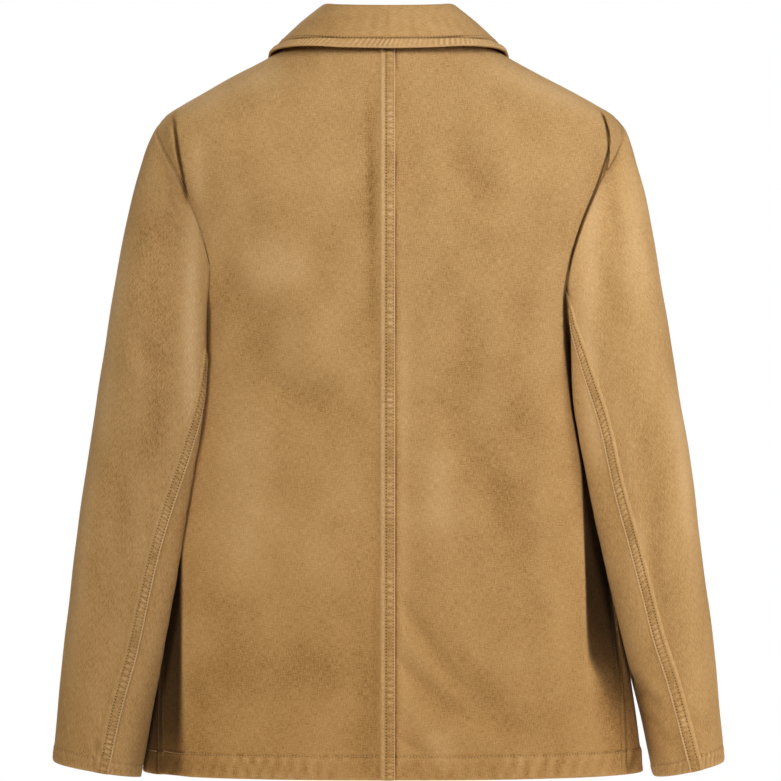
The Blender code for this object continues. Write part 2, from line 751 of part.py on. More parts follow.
def collar(collection):
    columns = [smooth_table(COLLAR, k) for k in range(1, 7)]
    half = [s * COLLAR_SIDE_SHARE for s in NECK_STATIONS]
    half += [mix(COLLAR_SIDE_SHARE, 1.0, k / COLLAR_FRONT_ROWS)
             for k in range(1, COLLAR_FRONT_ROWS + 1)]
    stations = [(s, -1.0) for s in reversed(half[1:])] + [(s, 1.0) for s in half]
    rows = []
    for share, side in stations:
        mirror = np.array((side, 1.0, 1.0))
        here, skin, off = collar_seat(share)
        fold = np.array([columns[k](share) for k in range(3)])
        edge = np.array([columns[k](share) for k in range(3, 6)])
        seat = here + off * COLLAR_SEAT_GAP - skin * COLLAR_INSET
        out = unit(edge - seat)
        up = fold - seat
        up = unit(up - float(np.dot(up, out)) * out)

        def flat(point):
            return np.array((float(np.dot(point - fold, out)),
                             float(np.dot(point - fold, up))))

        def lifted(spot):
            return fold + out * spot[0] + up * spot[1]

        centre = np.array((0.0, -COLLAR_FOLD_RADIUS))
        foot = flat(seat)
        tip = flat(edge)
        turn_in, touch_in = tangent_point(foot, centre, COLLAR_FOLD_RADIUS, -1.0)
        turn_out, touch_out = tangent_point(tip, centre, COLLAR_FOLD_RADIUS, 1.0)
        turn_in = turn_in % math.tau
        turn_out = (turn_out + math.pi) % math.tau - math.pi
        path = []
        facing_in = out * math.cos(turn_in) + up * math.sin(turn_in)
        for t in COLLAR_STAND_STEPS:
            facing = unit(mix(-skin, facing_in, ease(t / COLLAR_TURN_SHARE)))
            path.append((lifted(mix(foot, touch_in, t)), facing))
        for t in COLLAR_FOLD_STEPS:
            a = mix(turn_in, turn_out, t)
            spot = centre + COLLAR_FOLD_RADIUS * np.array((math.cos(a), math.sin(a)))
            path.append((lifted(spot), out * math.cos(a) + up * math.sin(a)))
        facing = out * math.cos(turn_out) + up * math.sin(turn_out)
        for t in COLLAR_FALL_STEPS:
            bow = COLLAR_BOW * math.sin(math.pi * t)
            path.append((lifted(mix(touch_out, tip, t)) + facing * bow, facing))
        rows.append([(spot * mirror, normal * mirror, COLLAR_WALL)
                     for spot, normal in path])
    return wall("collar", rows, collection)


# ---------------------------------------------------------------- sleeves
def turn_of(angle):
    """Turn round the armhole, 0 to 180, for a sleeve angle of any size and sign."""
    return 180.0 - abs(180.0 - angle % 360.0)


class Sleeve:
    """One sleeve's form: rings of a table, led into the armhole at the top."""

    def __init__(self, side):
        table = SLEEVE_LEFT if side > 0 else SLEEVE_RIGHT
        seam = FELL_SLEEVE_LEFT if side > 0 else FELL_SLEEVE_RIGHT
        self.side = side
        self.outer = smooth_table(table, 1)
        self.inner = smooth_table(table, 2)
        self.back = smooth_table(table, 3)
        self.front = smooth_table(table, 4)
        self.square = smooth_table(table, 5)
        self.seam_x = smooth_table(seam, 1)

    def ring(self, angle, z):
        """Point of the sleeve's section; 0 is outside, 90 behind, 180 inside."""
        c, s = squircle(math.radians(angle), self.square(z))
        centre_x = (self.outer(z) + self.inner(z)) / 2.0
        half_x = (self.outer(z) - self.inner(z)) / 2.0
        centre_y = (self.back(z) + self.front(z)) / 2.0
        half_y = (self.back(z) - self.front(z)) / 2.0
        return np.array((self.side * (centre_x + half_x * c), centre_y + half_y * s, z))

    def loop(self, angle):
        """Armhole point for a sleeve angle, and the body's normal there."""
        turn = turn_of(angle)
        z = armhole_height(turn)
        behind = math.sin(math.radians(angle)) >= 0.0
        arm = armhole_back(turn) if behind else armhole_front(turn)
        return body_point(arm, z, self.side), body_normal(arm, z, self.side)

    def away(self, angle):
        """Step off the armhole seam: off the panel's edge, off its face underneath."""
        here, normal = self.loop(angle)
        ahead = self.loop(angle + LOOP_STEP)[0]
        behind = self.loop(angle - LOOP_STEP)[0]
        along = unit(ahead - behind)
        across = unit(np.cross(along, normal))
        centre = np.array((self.side * ARM_CENTRE_X, 0.0, ARM_CENTRE_Z))
        if float(np.dot(across, centre - here)) < 0.0:
            across = -across
        under = ease((-math.cos(math.radians(angle)) - UNDER_START) / UNDER_SPAN)
        return unit(mix(across, normal, under)) * mix(SEAM_GAP, UNDERARM_GAP, under)

    def clear_of_body(self, point, air, soft):
        """Move a point outward so that it keeps the given air from the body form."""
        x, y, z = point
        depth = body_back(z) if y >= 0.0 else body_front(z)
        power = body_square_back(z) if y >= 0.0 else body_square_front(z)
        rest = 1.0 - min(abs(y) / (depth + air), 1.0) ** power
        limit = (body_half(z, self.side) + air) * rest ** (1.0 / power)
        gap = self.side * x - limit
        pushed = limit + 0.5 * (gap + math.sqrt(gap * gap + soft * soft))
        return np.array((self.side * pushed, y, z))

    def foot_z(self, angle):
        return CUFF_Z + CUFF_TILT * 0.5 * math.cos(math.radians(angle))

    def point(self, angle, t):
        z_top = armhole_height(turn_of(angle))
        z = mix(z_top, self.foot_z(angle), t)
        lead = self.loop(angle)[0] + self.away(angle)
        fade = ease(1.0 - t / CAP_FADE)
        spot = self.ring(angle, z) + (lead - self.ring(angle, z_top)) * fade
        settle = ease(t / CLEAR_SHARE)
        if settle <= 0.0:
            return spot
        return self.clear_of_body(spot, SLEEVE_CLEARANCE * settle, SLEEVE_SOFTNESS * settle)

    def normal(self, angle, t):
        around = self.point(angle + RING_STEP, t) - self.point(angle - RING_STEP, t)
        above = max(t - LENGTH_STEP, 0.0)
        along = self.point(angle, t + LENGTH_STEP) - self.point(angle, above)
        normal = unit(np.cross(around, along)) * -self.side
        if t <= 0.0:
            across = unit(self.away(angle))
            lean = float(np.dot(normal, across))
            if lean > 0.0:
                normal = unit(normal - lean * across)
        return normal

    def seam_angle(self, t):
        """Angle at which the sleeve lies at the felled seam's place, by halving."""
        low, high = SEAM_RANGE
        for _ in range(SEAM_HALVINGS):
            middle = (low + high) / 2.0
            here = self.point(middle, t)
            if abs(here[0]) > self.seam_x(here[2]):
                low = middle
            else:
                high = middle
        return mix(SEAM_START, low, ease(t / SEAM_LEAD))


SLEEVE_ROWS = (0.0, 0.02, 0.045, 0.075, 0.11, 0.15, 0.19, 0.235, 0.28, 0.33, 0.38, 0.43,
               0.48, 0.53, 0.58, 0.63, 0.68, 0.73, 0.78, 0.83, 0.88, 0.93, 0.972, 0.9745,
               1.0)
TOP_COLUMNS = 18
UNDER_COLUMNS = 6


def sleeve_piece(side, under, collection):
    form = Sleeve(side)
    word = "left" if side > 0 else "right"
    name = "sleeve_" + word + ("_under" if under else "_top")
    columns = UNDER_COLUMNS if under else TOP_COLUMNS
    rows = []
    for t in SLEEVE_ROWS:
        back = form.seam_angle(t)
        front = FRONT_SLEEVE_SEAM
        z = mix(armhole_height(turn_of(back)), CUFF_Z, t)
        half = (form.outer(z) - form.inner(z)) / 2.0
        gap = math.degrees(HALF_GAP / half)
        if under:
            start, end = back + gap, 360.0 + front - gap
        else:
            start, end = back - gap, front + gap
        row = []
        for c in range(columns + 1):
            angle = mix(start, end, c / columns)
            thick = WALL + (HEM_EXTRA if t > CUFF_ROW else 0.0)
            row.append((form.point(angle, t), form.normal(angle, t), thick))
        rows.append(row)
    return wall(name, rows, collection)


# ---------------------------------------------------------------- buttons
def button(name, height, collection):
    """A four-hole button turned from a profile, standing off the left front by its thread."""
    profile = (
        # radius, height
        (0.0,                          0.0),
        (BUTTON_RADIUS - BUTTON_EDGE,  0.0),
        (BUTTON_RADIUS,                BUTTON_EDGE),
        (BUTTON_RADIUS,                BUTTON_THICK - BUTTON_EDGE),
        (BUTTON_RADIUS - BUTTON_EDGE,  BUTTON_THICK),
        (BUTTON_RADIUS - BUTTON_RIM,   BUTTON_THICK),
        (BUTTON_RADIUS - BUTTON_RIM - BUTTON_EDGE, BUTTON_THICK - BUTTON_DISH),
        (0.0,                          BUTTON_THICK - BUTTON_DISH),
    )
    bm = bmesh.new()
    points = [bm.verts.new((r * MM, 0.0, h * MM)) for r, h in profile]
    for a, b in zip(points, points[1:]):
        bm.edges.new((a, b))
    bmesh.ops.spin(bm, geom=list(bm.verts) + list(bm.edges), cent=(0.0, 0.0, 0.0),
                   axis=(0.0, 0.0, 1.0), angle=math.tau, steps=BUTTON_SEGMENTS,
                   use_merge=True)
    bmesh.ops.remove_doubles(bm, verts=bm.verts, dist=0.01 * MM)
    bmesh.ops.recalc_face_normals(bm, faces=bm.faces)
    mesh = bpy.data.meshes.new(name)
    bm.to_mesh(mesh)
    bm.free()
    disc = add_object(name, mesh, "button", collection)

    drills = bmesh.new()
    for dx in (-1.0, 1.0):
        for dy in (-1.0, 1.0):
            place = Matrix.Translation((dx * BUTTON_HOLE_SPREAD * MM,
                                        dy * BUTTON_HOLE_SPREAD * MM,
                                        BUTTON_THICK * 0.5 * MM))
            bmesh.ops.create_cone(drills, cap_ends=True, segments=BUTTON_HOLE_SEGMENTS,
                                  radius1=BUTTON_HOLE_RADIUS * MM,
                                  radius2=BUTTON_HOLE_RADIUS * MM,
                                  depth=BUTTON_THICK * 3.0 * MM, matrix=place)
    drill_mesh = bpy.data.meshes.new(name + "_drills")
    drills.to_mesh(drill_mesh)
    drills.free()
    drill = bpy.data.objects.new(name + "_drills", drill_mesh)
    collection.objects.link(drill)
    cut = disc.modifiers.new("holes", "BOOLEAN")
    cut.operation = "DIFFERENCE"
    cut.solver = "EXACT"
    cut.object = drill
    depsgraph = bpy.context.evaluated_depsgraph_get()
    cut_mesh = bpy.data.meshes.new_from_object(disc.evaluated_get(depsgraph))
    disc.modifiers.clear()
    disc.data = cut_mesh
    bpy.data.objects.remove(drill, do_unlink=True)

    angle = front_angle_at(0.0, height, 1.0)
    seat = front_point(angle, height, 1.0)
    out = front_normal(angle, height, 1.0)
    lift = BUTTON_STAND_OFF + 0.5 * BUTTON_RADIUS**2 / body_front(height)
    across = unit(np.cross(np.array((0.0, 0.0, 1.0)), out))
    up = unit(np.cross(out, across))
    place = Matrix((
        (across[0], up[0], out[0], 0.0),
        (across[1], up[1], out[1], 0.0),
        (across[2], up[2], out[2], 0.0),
        (0.0, 0.0, 0.0, 1.0),
    ))
    spot = (seat + out * lift) * MM
    disc.data.transform(Matrix.Translation(spot.tolist()) @ place)
    disc.data.shade_smooth()
    disc.data.set_sharp_from_angle(angle=math.radians(BUTTON_SHARP_ANGLE))
    return disc


# ---------------------------------------------------------------- build
def build():
    for item in list(bpy.data.objects):
        bpy.data.objects.remove(item, do_unlink=True)
    collection = bpy.data.collections.new(GARMENT)
    bpy.context.scene.collection.children.link(collection)
    for side in (1.0, -1.0):
        back_panel(side, collection)
        front_panel(side, collection)
        lapel(side, collection)
        sleeve_piece(side, False, collection)
        sleeve_piece(side, True, collection)
    collar(collection)
    for name, height in BUTTONS:
        button(name, height, collection)


build()
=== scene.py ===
"""Looks of a tan cotton suit jacket, hanging hollow as if worn.

Every piece of cloth is a thin shell on its solid's form, finer than the solid, with the
garment's own folds, puckers, felled bands, hems and stitching. Sizes are in millimetres and
are turned into metres when a piece is made. +Z is up, the front faces -Y, the wearer's left
is +X, and the origin is the middle of the neck opening.
"""

import math
from dataclasses import dataclass

import bpy
import numpy as np
from mathutils import Matrix, Vector


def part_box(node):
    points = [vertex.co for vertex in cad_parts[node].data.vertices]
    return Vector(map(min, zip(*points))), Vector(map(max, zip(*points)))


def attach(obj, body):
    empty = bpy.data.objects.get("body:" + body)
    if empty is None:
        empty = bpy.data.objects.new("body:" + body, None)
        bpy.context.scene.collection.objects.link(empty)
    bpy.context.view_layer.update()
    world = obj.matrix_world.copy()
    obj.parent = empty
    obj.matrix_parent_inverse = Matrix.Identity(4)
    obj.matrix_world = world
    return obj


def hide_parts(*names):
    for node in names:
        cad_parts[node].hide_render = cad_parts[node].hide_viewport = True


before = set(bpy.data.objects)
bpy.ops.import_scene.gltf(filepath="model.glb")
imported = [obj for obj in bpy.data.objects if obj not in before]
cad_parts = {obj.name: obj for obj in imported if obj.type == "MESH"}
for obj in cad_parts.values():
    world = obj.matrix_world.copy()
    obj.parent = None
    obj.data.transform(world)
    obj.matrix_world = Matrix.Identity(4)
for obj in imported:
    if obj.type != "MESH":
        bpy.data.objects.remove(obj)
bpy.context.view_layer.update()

MM = 0.001
LEFT = 1.0  # the wearer's sides, as signs of X
RIGHT = -1.0
WORDS = {LEFT: "left", RIGHT: "right"}

# ---------------------------------------------------------------- cloth and seams
CLOTH = 1.2  # thickness of the shells
COLLAR_CLOTH = 1.9
SEAM_GAP = 0.3
HALF_GAP = 0.02  # the shells meet closer at their seams than the solids do
OVERLAP = 19.0  # each front runs this far past the centre line
LAP_RISE = 3.6  # the left front lies this far out over the right front
LAP_FADE = 42.0

NECK_BACK_Z = -20.0
SHOULDER_Z = -88.0
UNDERARM_Z = -305.0
BREAK_Z = -322.0
HEM_Z = -739.0
SHOULDER_ANGLE = 93.0
SHOULDER_MIDDLE_Z = -40.0

# Body sections: height, half width left and right, depth behind and before the ridge,
# squareness of the back and front halves.
BODY = (
    # z, left, right, back, front, sq_back, sq_front
    (  20,    54,    54,    46,  50,    2,    2),
    (   0,    78,    78,    55,  60,    2,    2),
    ( -10,    92,    92,  58.5,  64,    2,    2),
    ( -20,   107,   107,  62.5,  68, 2.02, 2.02),
    ( -30,   124,   124,  67.5,  72, 2.05, 2.04),
    ( -45,   152,   152,    76,  78,  2.1, 2.06),
    ( -60,   179,   180,  83.5,  84, 2.18,  2.1),
    ( -75,   205,   207,    90,  89, 2.28, 2.15),
    ( -88,   224,   227,    95,  93, 2.36,  2.2),
    (-103,   232,   235,  99.5,  97, 2.45, 2.25),
    (-125,   229,   232, 104.5, 102, 2.52,  2.3),
    (-160,   217,   219,   110, 108, 2.58, 2.35),
    (-200,   207,   207,   113, 114, 2.52,  2.4),
    (-250, 198.5, 198.5, 113.5, 119, 2.46,  2.4),
    (-305,   195,   195,   111, 120, 2.45, 2.35),
    (-370,   201,   199,   107, 117, 2.46,  2.3),
    (-450,   213,   210,   103, 113, 2.46, 2.25),
    (-540,   225,   224,   101, 109, 2.44,  2.2),
    (-640,   237,   241,   100, 104, 2.38,  2.2),
    (-760,   247,   257,    99, 100,  2.3,  2.2),
)

# Where the armhole seam runs, step by step from the shoulder to the underarm: turn round
# the armhole, height, and angle from the centre back behind and before.
ARMHOLE = (
    # turn, z, back, front
    (  0,  -88,   93,    93),
    ( 15,  -93,   86,  98.5),
    ( 30, -103,   79,   103),
    ( 45, -120,   71,   108),
    ( 60, -143, 64.5,   113),
    ( 75, -167,   61,   117),
    ( 90, -191, 58.5, 119.5),
    (105, -214,   57,   120),
    (120, -236, 56.5,   119),
    (135, -257,   58, 115.5),
    (150, -275,   63, 108.5),
    (165, -291, 72.5,    98),
    (180, -305,   85,    85),
)

# Side seam: height and angle from the centre back.
SIDE_SEAM = (
    # z, angle
    (-305,   85),
    (-380, 82.5),
    (-460,   79),
    (-600, 71.5),
    (-760,   63),
)

# Back neck seam: share of the way from the centre back to the neck point, height.
NECKLINE = (
    # share, z
    (   0,   -20),
    ( 0.2,   -18),
    (0.45, -11.5),
    ( 0.7,  -4.5),
    (   1,     0),
)

# Roll line of a lapel: height and distance from the centre line.
ROLL_LINE = (
    # z, x
    (   0,   78),
    ( -40,   70),
    (-100, 55.5),
    (-160, 39.5),
    (-220, 19.5),
    (-268,  1.5),
    (-322,  -19),
)

# Outer edge of a lapel: height and distance from the centre line.
LAPEL_EDGE = (
    # z, x
    ( -90, 147),
    (-104, 138),
    (-140, 116),
    (-190,  86),
    (-240,  53),
    (-290,  16),
    (-322, -12),
)
# Lapel rows run from a height on the roll line to a height on the outer edge.
LAPEL_ENDS = {
    # side:  foot roll, foot edge, head roll, head edge
    LEFT: (-317, -320, -50, -90),
    RIGHT: (-256, -284, -50, -90),
}
LAPEL_LIFT = 3.1  # outer face of the lapel above the front
LAPEL_SPRING = 0.6  # the lapel's outer edge stands this much further out

# Collar guide lines for the left half, from the centre back to the collar's front end.
COLLAR = (
    # share, fold x, y, z, edge x, y, z
    (   0,    0,    56,  19.5,     0,    76, -24.6),
    (0.15,   27,  52.5,    20,    42,    72, -23.4),
    ( 0.3,   50,    39,    22,    79,  61.5, -20.8),
    (0.42, 62.5,    20,  24.5,   103,    42,   -20),
    (0.52, 66.5,     2,    25, 117.5,    16,   -22),
    (0.66, 69.5,   -21,  15.5,   121,   -17, -25.5),
    (0.77,   70,   -41,    -3, 117.5,   -41, -33.5),
    (0.88, 69.5, -58.5, -21.5, 110.5, -61.5, -45.5),
    (   1,   68, -72.5,   -41,   101,   -77, -61.5),
)
COLLAR_SIDE_SHARE = 0.55
COLLAR_FOLD_RADIUS = 2.6

# Sleeve sections: height, outer and inner limb, back and front limb, squareness.
SLEEVES = {
    LEFT: (
        # z, outer, inner, back, front, square
        ( -70,   216, 150, 22, -30, 2.1),
        ( -88, 226.5, 152, 30, -38, 2.1),
        (-100, 234.5, 154, 37, -45, 2.1),
        (-115,   241, 155, 47, -53, 2.2),
        (-135, 247.5, 155, 60, -61, 2.3),
        (-165,   255, 154, 75, -69, 2.6),
        (-205,   263, 152, 86, -74,   3),
        (-255, 271.5, 150, 90, -76, 3.3),
        (-305,   280, 153, 88, -75, 3.2),
        (-360, 288.5, 161, 82, -72, 3.1),
        (-430, 299.5, 174, 75, -67,   3),
        (-520,   312, 188, 68, -59, 2.9),
        (-610, 322.5, 206, 63, -49, 2.6),
        (-680,   330, 225, 59, -40, 2.3),
        (-745,   335, 243, 55, -34, 2.2),
    ),
    RIGHT: (
        ( -70,   218, 150, 20, -30, 2.1),
        ( -88,   229, 152, 27, -38, 2.1),
        (-100,   238, 154, 33, -45, 2.1),
        (-115, 243.5, 157, 42, -53, 2.2),
        (-135,   249, 160, 54, -61, 2.3),
        (-165, 256.5, 162, 64, -69, 2.5),
        (-205,   264, 161, 71, -75, 2.7),
        (-255,   272, 159, 75, -78, 2.8),
        (-305, 280.5, 160, 76, -78, 2.8),
        (-360,   289, 164, 75, -74, 2.8),
        (-430,   300, 177, 72, -68, 2.6),
        (-520,   312, 200, 66, -60, 2.5),
        (-610,   324, 226, 60, -52, 2.3),
        (-680, 330.5, 249, 56, -46, 2.2),
        (-745,   336, 264, 53, -41, 2.2),
    ),
}

# Felled sleeve seam: height and distance from the centre line, as seen from behind.
SLEEVE_SEAMS = {
    LEFT: (
        # z, x
        (-280,   176),
        (-360,   185),
        (-410,   199),
        (-475,   221),
        (-520, 234.5),
        (-570,   246),
        (-615,   256),
        (-665,   270),
        (-745,   288),
    ),
    RIGHT: (
        (-280, 177.5),
        (-335,   196),
        (-390,   214),
        (-453, 228.5),
        (-507, 243.5),
        (-550,   255),
        (-600,   268),
        (-645,   283),
        (-745,   310),
    ),
}
SEAM_START = 135.0  # angle at which the felled seam meets the armhole
SEAM_RANGE = (60.0, 150.0)  # the seam is looked for between these angles
SEAM_HALVINGS = 14
SEAM_LEAD = 0.12  # share of the sleeve over which it settles on its line
FRONT_SLEEVE_SEAM = -135.0  # angle of the hidden seam at the front of the sleeve
UNDERARM_GAP = 0.8  # air between the body and the sleeve's edge under the arm
CLEAR_SHARE = 0.05  # share of the sleeve over which it settles clear of the body
SLEEVE_SOFTNESS = 4.0  # roundness where the sleeve meets that clearance
CAP_FADE = 0.34  # share of the sleeve over which it leaves the armhole's shape
SLEEVE_CLEARANCE = {LEFT: 1.4, RIGHT: 0.4}  # air between a sleeve's form and the body's
LOOP_STEP = 1.5  # degrees used to find the armhole's direction
RING_STEP = 1.2  # degrees and share of the length used to find a normal
LENGTH_STEP = 0.004
ARM_CENTRE_X = 215.0  # middle of the armhole
ARM_CENTRE_Z = -196.0
UNDER_START = 0.35  # how far down the armhole, as a cosine, the underarm begins
UNDER_SPAN = 0.60  # and over how much it is reached
CUFF_Z = -736.0
CUFF_TILT = 16.0  # the cuff's inner side hangs lower than its outer side

# Drape fold beside the back armhole: height, lift on the left and right, crest's angle.
BACK_FOLD = (
    # z, left, right, angle
    ( -60,   0,   0,   66),
    (-100, 2.8, 2.2,   63),
    (-136, 3.6, 3.8,   60),
    (-164, 2.4, 4.4, 56.5),
    (-200, 0.6, 4.2,   53),
    (-237,   0, 3.8, 51.5),
    (-273,   0, 3.2, 51.5),
    (-307,   0, 2.4, 53.5),
    (-363,   0, 1.6,   54),
    (-430,   0, 1.8,   54),
    (-490, 0.2,   2, 53.5),
    (-560, 1.2, 2.2,   52),
    (-640, 1.8, 2.2,   50),
    (-700, 1.2, 1.4,   49),
    (-745, 0.6, 0.6,   49),
)
BACK_FOLD_INNER = 16.0  # degrees over which the lift dies out towards the centre
BACK_FOLD_OUTER = 4.0  # and towards the seam

# Buttons: name and height on the centre line.
BUTTONS = (
    # name,            z
    ("button_top",     -346.0),
    ("button_middle",  -446.0),
    ("button_bottom",  -546.0),
)
BUTTON_DISH = 0.7  # depth of the hollow in a button's face
BUTTON_HOLE_SPREAD = 2.1  # its four holes lie this far from its middle, both ways


# ---------------------------------------------------------------- tables and small sums
def smooth_table(rows, column):
    """Return a function of the first column that passes smoothly through another column."""
    ordered = sorted(rows, key=lambda row: row[0])
    xs = np.array([row[0] for row in ordered], dtype=float)
    ys = np.array([row[column] for row in ordered], dtype=float)
    steps = np.diff(xs)
    slopes = np.diff(ys) / steps
    tangents = np.empty(len(xs))
    tangents[0] = slopes[0]
    tangents[-1] = slopes[-1]
    for k in range(1, len(xs) - 1):
        before, after = slopes[k - 1], slopes[k]
        if before * after <= 0.0:
            tangents[k] = 0.0
        else:
            w_before = 2.0 * steps[k] + steps[k - 1]
            w_after = steps[k] + 2.0 * steps[k - 1]
            tangents[k] = (w_before + w_after) / (w_before / before + w_after / after)

    def value(x):
        x = np.clip(x, xs[0], xs[-1])
        k = np.clip(np.searchsorted(xs, x, side="right") - 1, 0, len(xs) - 2)
        h = steps[k]
        t = (x - xs[k]) / h
        return (
            (2 * t**3 - 3 * t**2 + 1) * ys[k]
            + (t**3 - 2 * t**2 + t) * h * tangents[k]
            + (3 * t**2 - 2 * t**3) * ys[k + 1]
            + (t**3 - t**2) * h * tangents[k + 1]
        )

    return value


def smooth_columns(rows, first=1):
    """The same for every column from the given one on."""
    return [smooth_table(rows, column) for column in range(first, len(rows[0]))]


def side_tables(rows):
    """The same for a table whose second and third columns hold the left and right side."""
    return dict(zip(WORDS, smooth_columns(rows)))


def mix(a, b, t):
    return a + (b - a) * t


def ease(t):
    t = np.clip(t, 0.0, 1.0)
    return t * t * (3.0 - 2.0 * t)


def fade_in(value, start, reach):
    """Nought up to a start, then softly up to one over a reach."""
    return ease((value - start) / reach)


def fade_out(value, end, reach):
    """One at first, then softly down over a reach to nought at an end."""
    return ease((end - value) / reach)


def bell(x):
    """Soft bump of height one at nought that dies out by about two."""
    return np.exp(-x * x)


def length_of(vectors):
    return np.sqrt((vectors * vectors).sum(axis=-1))


def unit(vectors):
    return vectors / np.maximum(length_of(vectors), 1e-12)[..., None]


def dot(a, b):
    return (a * b).sum(axis=-1)


def stack(x, y, z):
    x, y, z = np.broadcast_arrays(x, y, z)
    return np.stack((x, y, z), axis=-1).astype(float)


def squircle(angle, power):
    """Point of a unit superellipse in the direction of an angle, as (cosine, sine)."""
    c = np.cos(angle)
    s = np.sin(angle)
    scale = (np.abs(c) ** power + np.abs(s) ** power) ** (-1.0 / power)
    return c * scale, s * scale


def squircle_angle(share, power):
    """Angle at which a unit superellipse has the given sine side, below a quarter turn."""
    share = np.clip(share, -0.9999, 0.9999)
    rest = (1.0 - np.abs(share) ** power) ** (1.0 / power)
    return np.arctan2(share, rest)


def surface_normal(surface, u, v, outward, step_u, step_v):
    """Normals of a surface function by differences, turned towards given directions."""
    along_u = surface(u + step_u, v) - surface(u - step_u, v)
    along_v = surface(u, v + step_v) - surface(u, v - step_v)
    normal = unit(np.cross(along_u, along_v))
    return np.where(dot(normal, outward)[..., None] >= 0.0, normal, -normal)


# ---------------------------------------------------------------- the body form
ANGLE_STEP = 0.4  # degrees and millimetres used to find a normal
HEIGHT_STEP = 1.0
body_halves = side_tables(BODY)
body_back, body_front, body_square_back, body_square_front = smooth_columns(BODY, 3)
armhole_height, armhole_back, armhole_front = smooth_columns(ARMHOLE)
armhole_turn = smooth_table([(z, turn) for turn, z, _, _ in ARMHOLE], 1)
side_seam = smooth_table(SIDE_SEAM, 1)
neckline = smooth_table(NECKLINE, 1)
roll_line = smooth_table(ROLL_LINE, 1)
lapel_edge = smooth_table(LAPEL_EDGE, 1)
fold_lifts = side_tables(BACK_FOLD)
fold_angle = smooth_table(BACK_FOLD, 3)


def body_half(z, side):
    return body_halves[side](z)


def body_plain(angle, z, side):
    """Points of the body form; the angle is in degrees from the centre back to the front."""
    a = np.radians(angle)
    at_back = np.cos(a) >= 0.0
    power = np.where(at_back, body_square_back(z), body_square_front(z))
    depth = np.where(at_back, body_back(z), body_front(z))
    c, s = squircle(a, power)
    return stack(side * body_half(z, side) * s, depth * c, z)


def drape_lift(angle, z, side):
    """How far the drape fold beside the back armhole stands out."""
    off = angle - fold_angle(z)
    width = np.where(off > 0.0, BACK_FOLD_OUTER, BACK_FOLD_INNER)
    return fold_lifts[side](z) * ease(1.0 - np.abs(off) / width)


def body_point(angle, z, side):
    point = body_plain(angle, z, side)
    point[..., 1] += drape_lift(angle, z, side)
    return point


def flat_out(points):
    return points * np.array((1.0, 1.0, 0.0))


def body_normal(angle, z, side):
    return surface_normal(
        lambda a, h: body_point(a, h, side), angle, z,
        flat_out(body_point(angle, z, side)), ANGLE_STEP, HEIGHT_STEP,
    )


def back_angle_at(x, z, side):
    """Angle of the back half at a signed distance from the centre line."""
    return np.degrees(squircle_angle(x * side / body_half(z, side), body_square_back(z)))


def front_angle_at(x, z, side):
    """Angle of the front half at a signed distance from the centre line."""
    share = x * side / body_half(z, side)
    return 180.0 - np.degrees(squircle_angle(share, body_square_front(z)))


def lap_out(point, side):
    """The left front's lift over the right front, dying out away from the centre line."""
    if side < 0:
        return np.zeros(point.shape[:-1])
    return LAP_RISE * (1.0 - ease((point[..., 0] - OVERLAP) / LAP_FADE))


def front_point(angle, z, side):
    plain = body_plain(angle, z, side)
    plain[..., 1] -= lap_out(plain, side)
    return plain


def front_normal(angle, z, side):
    return surface_normal(
        lambda a, h: front_point(a, h, side), angle, z,
        flat_out(front_point(angle, z, side)), ANGLE_STEP, HEIGHT_STEP,
    )


def front_edge_x(z):
    """Distance of the front's free edge from the centre line; negative past the centre."""
    return np.where(z > BREAK_Z, roll_line(z), -OVERLAP)


# ---------------------------------------------------------------- sleeve form
def turn_of(angle):
    """Turn round the armhole, 0 to 180, for sleeve angles of any size and sign."""
    return 180.0 - np.abs(180.0 - angle % 360.0)


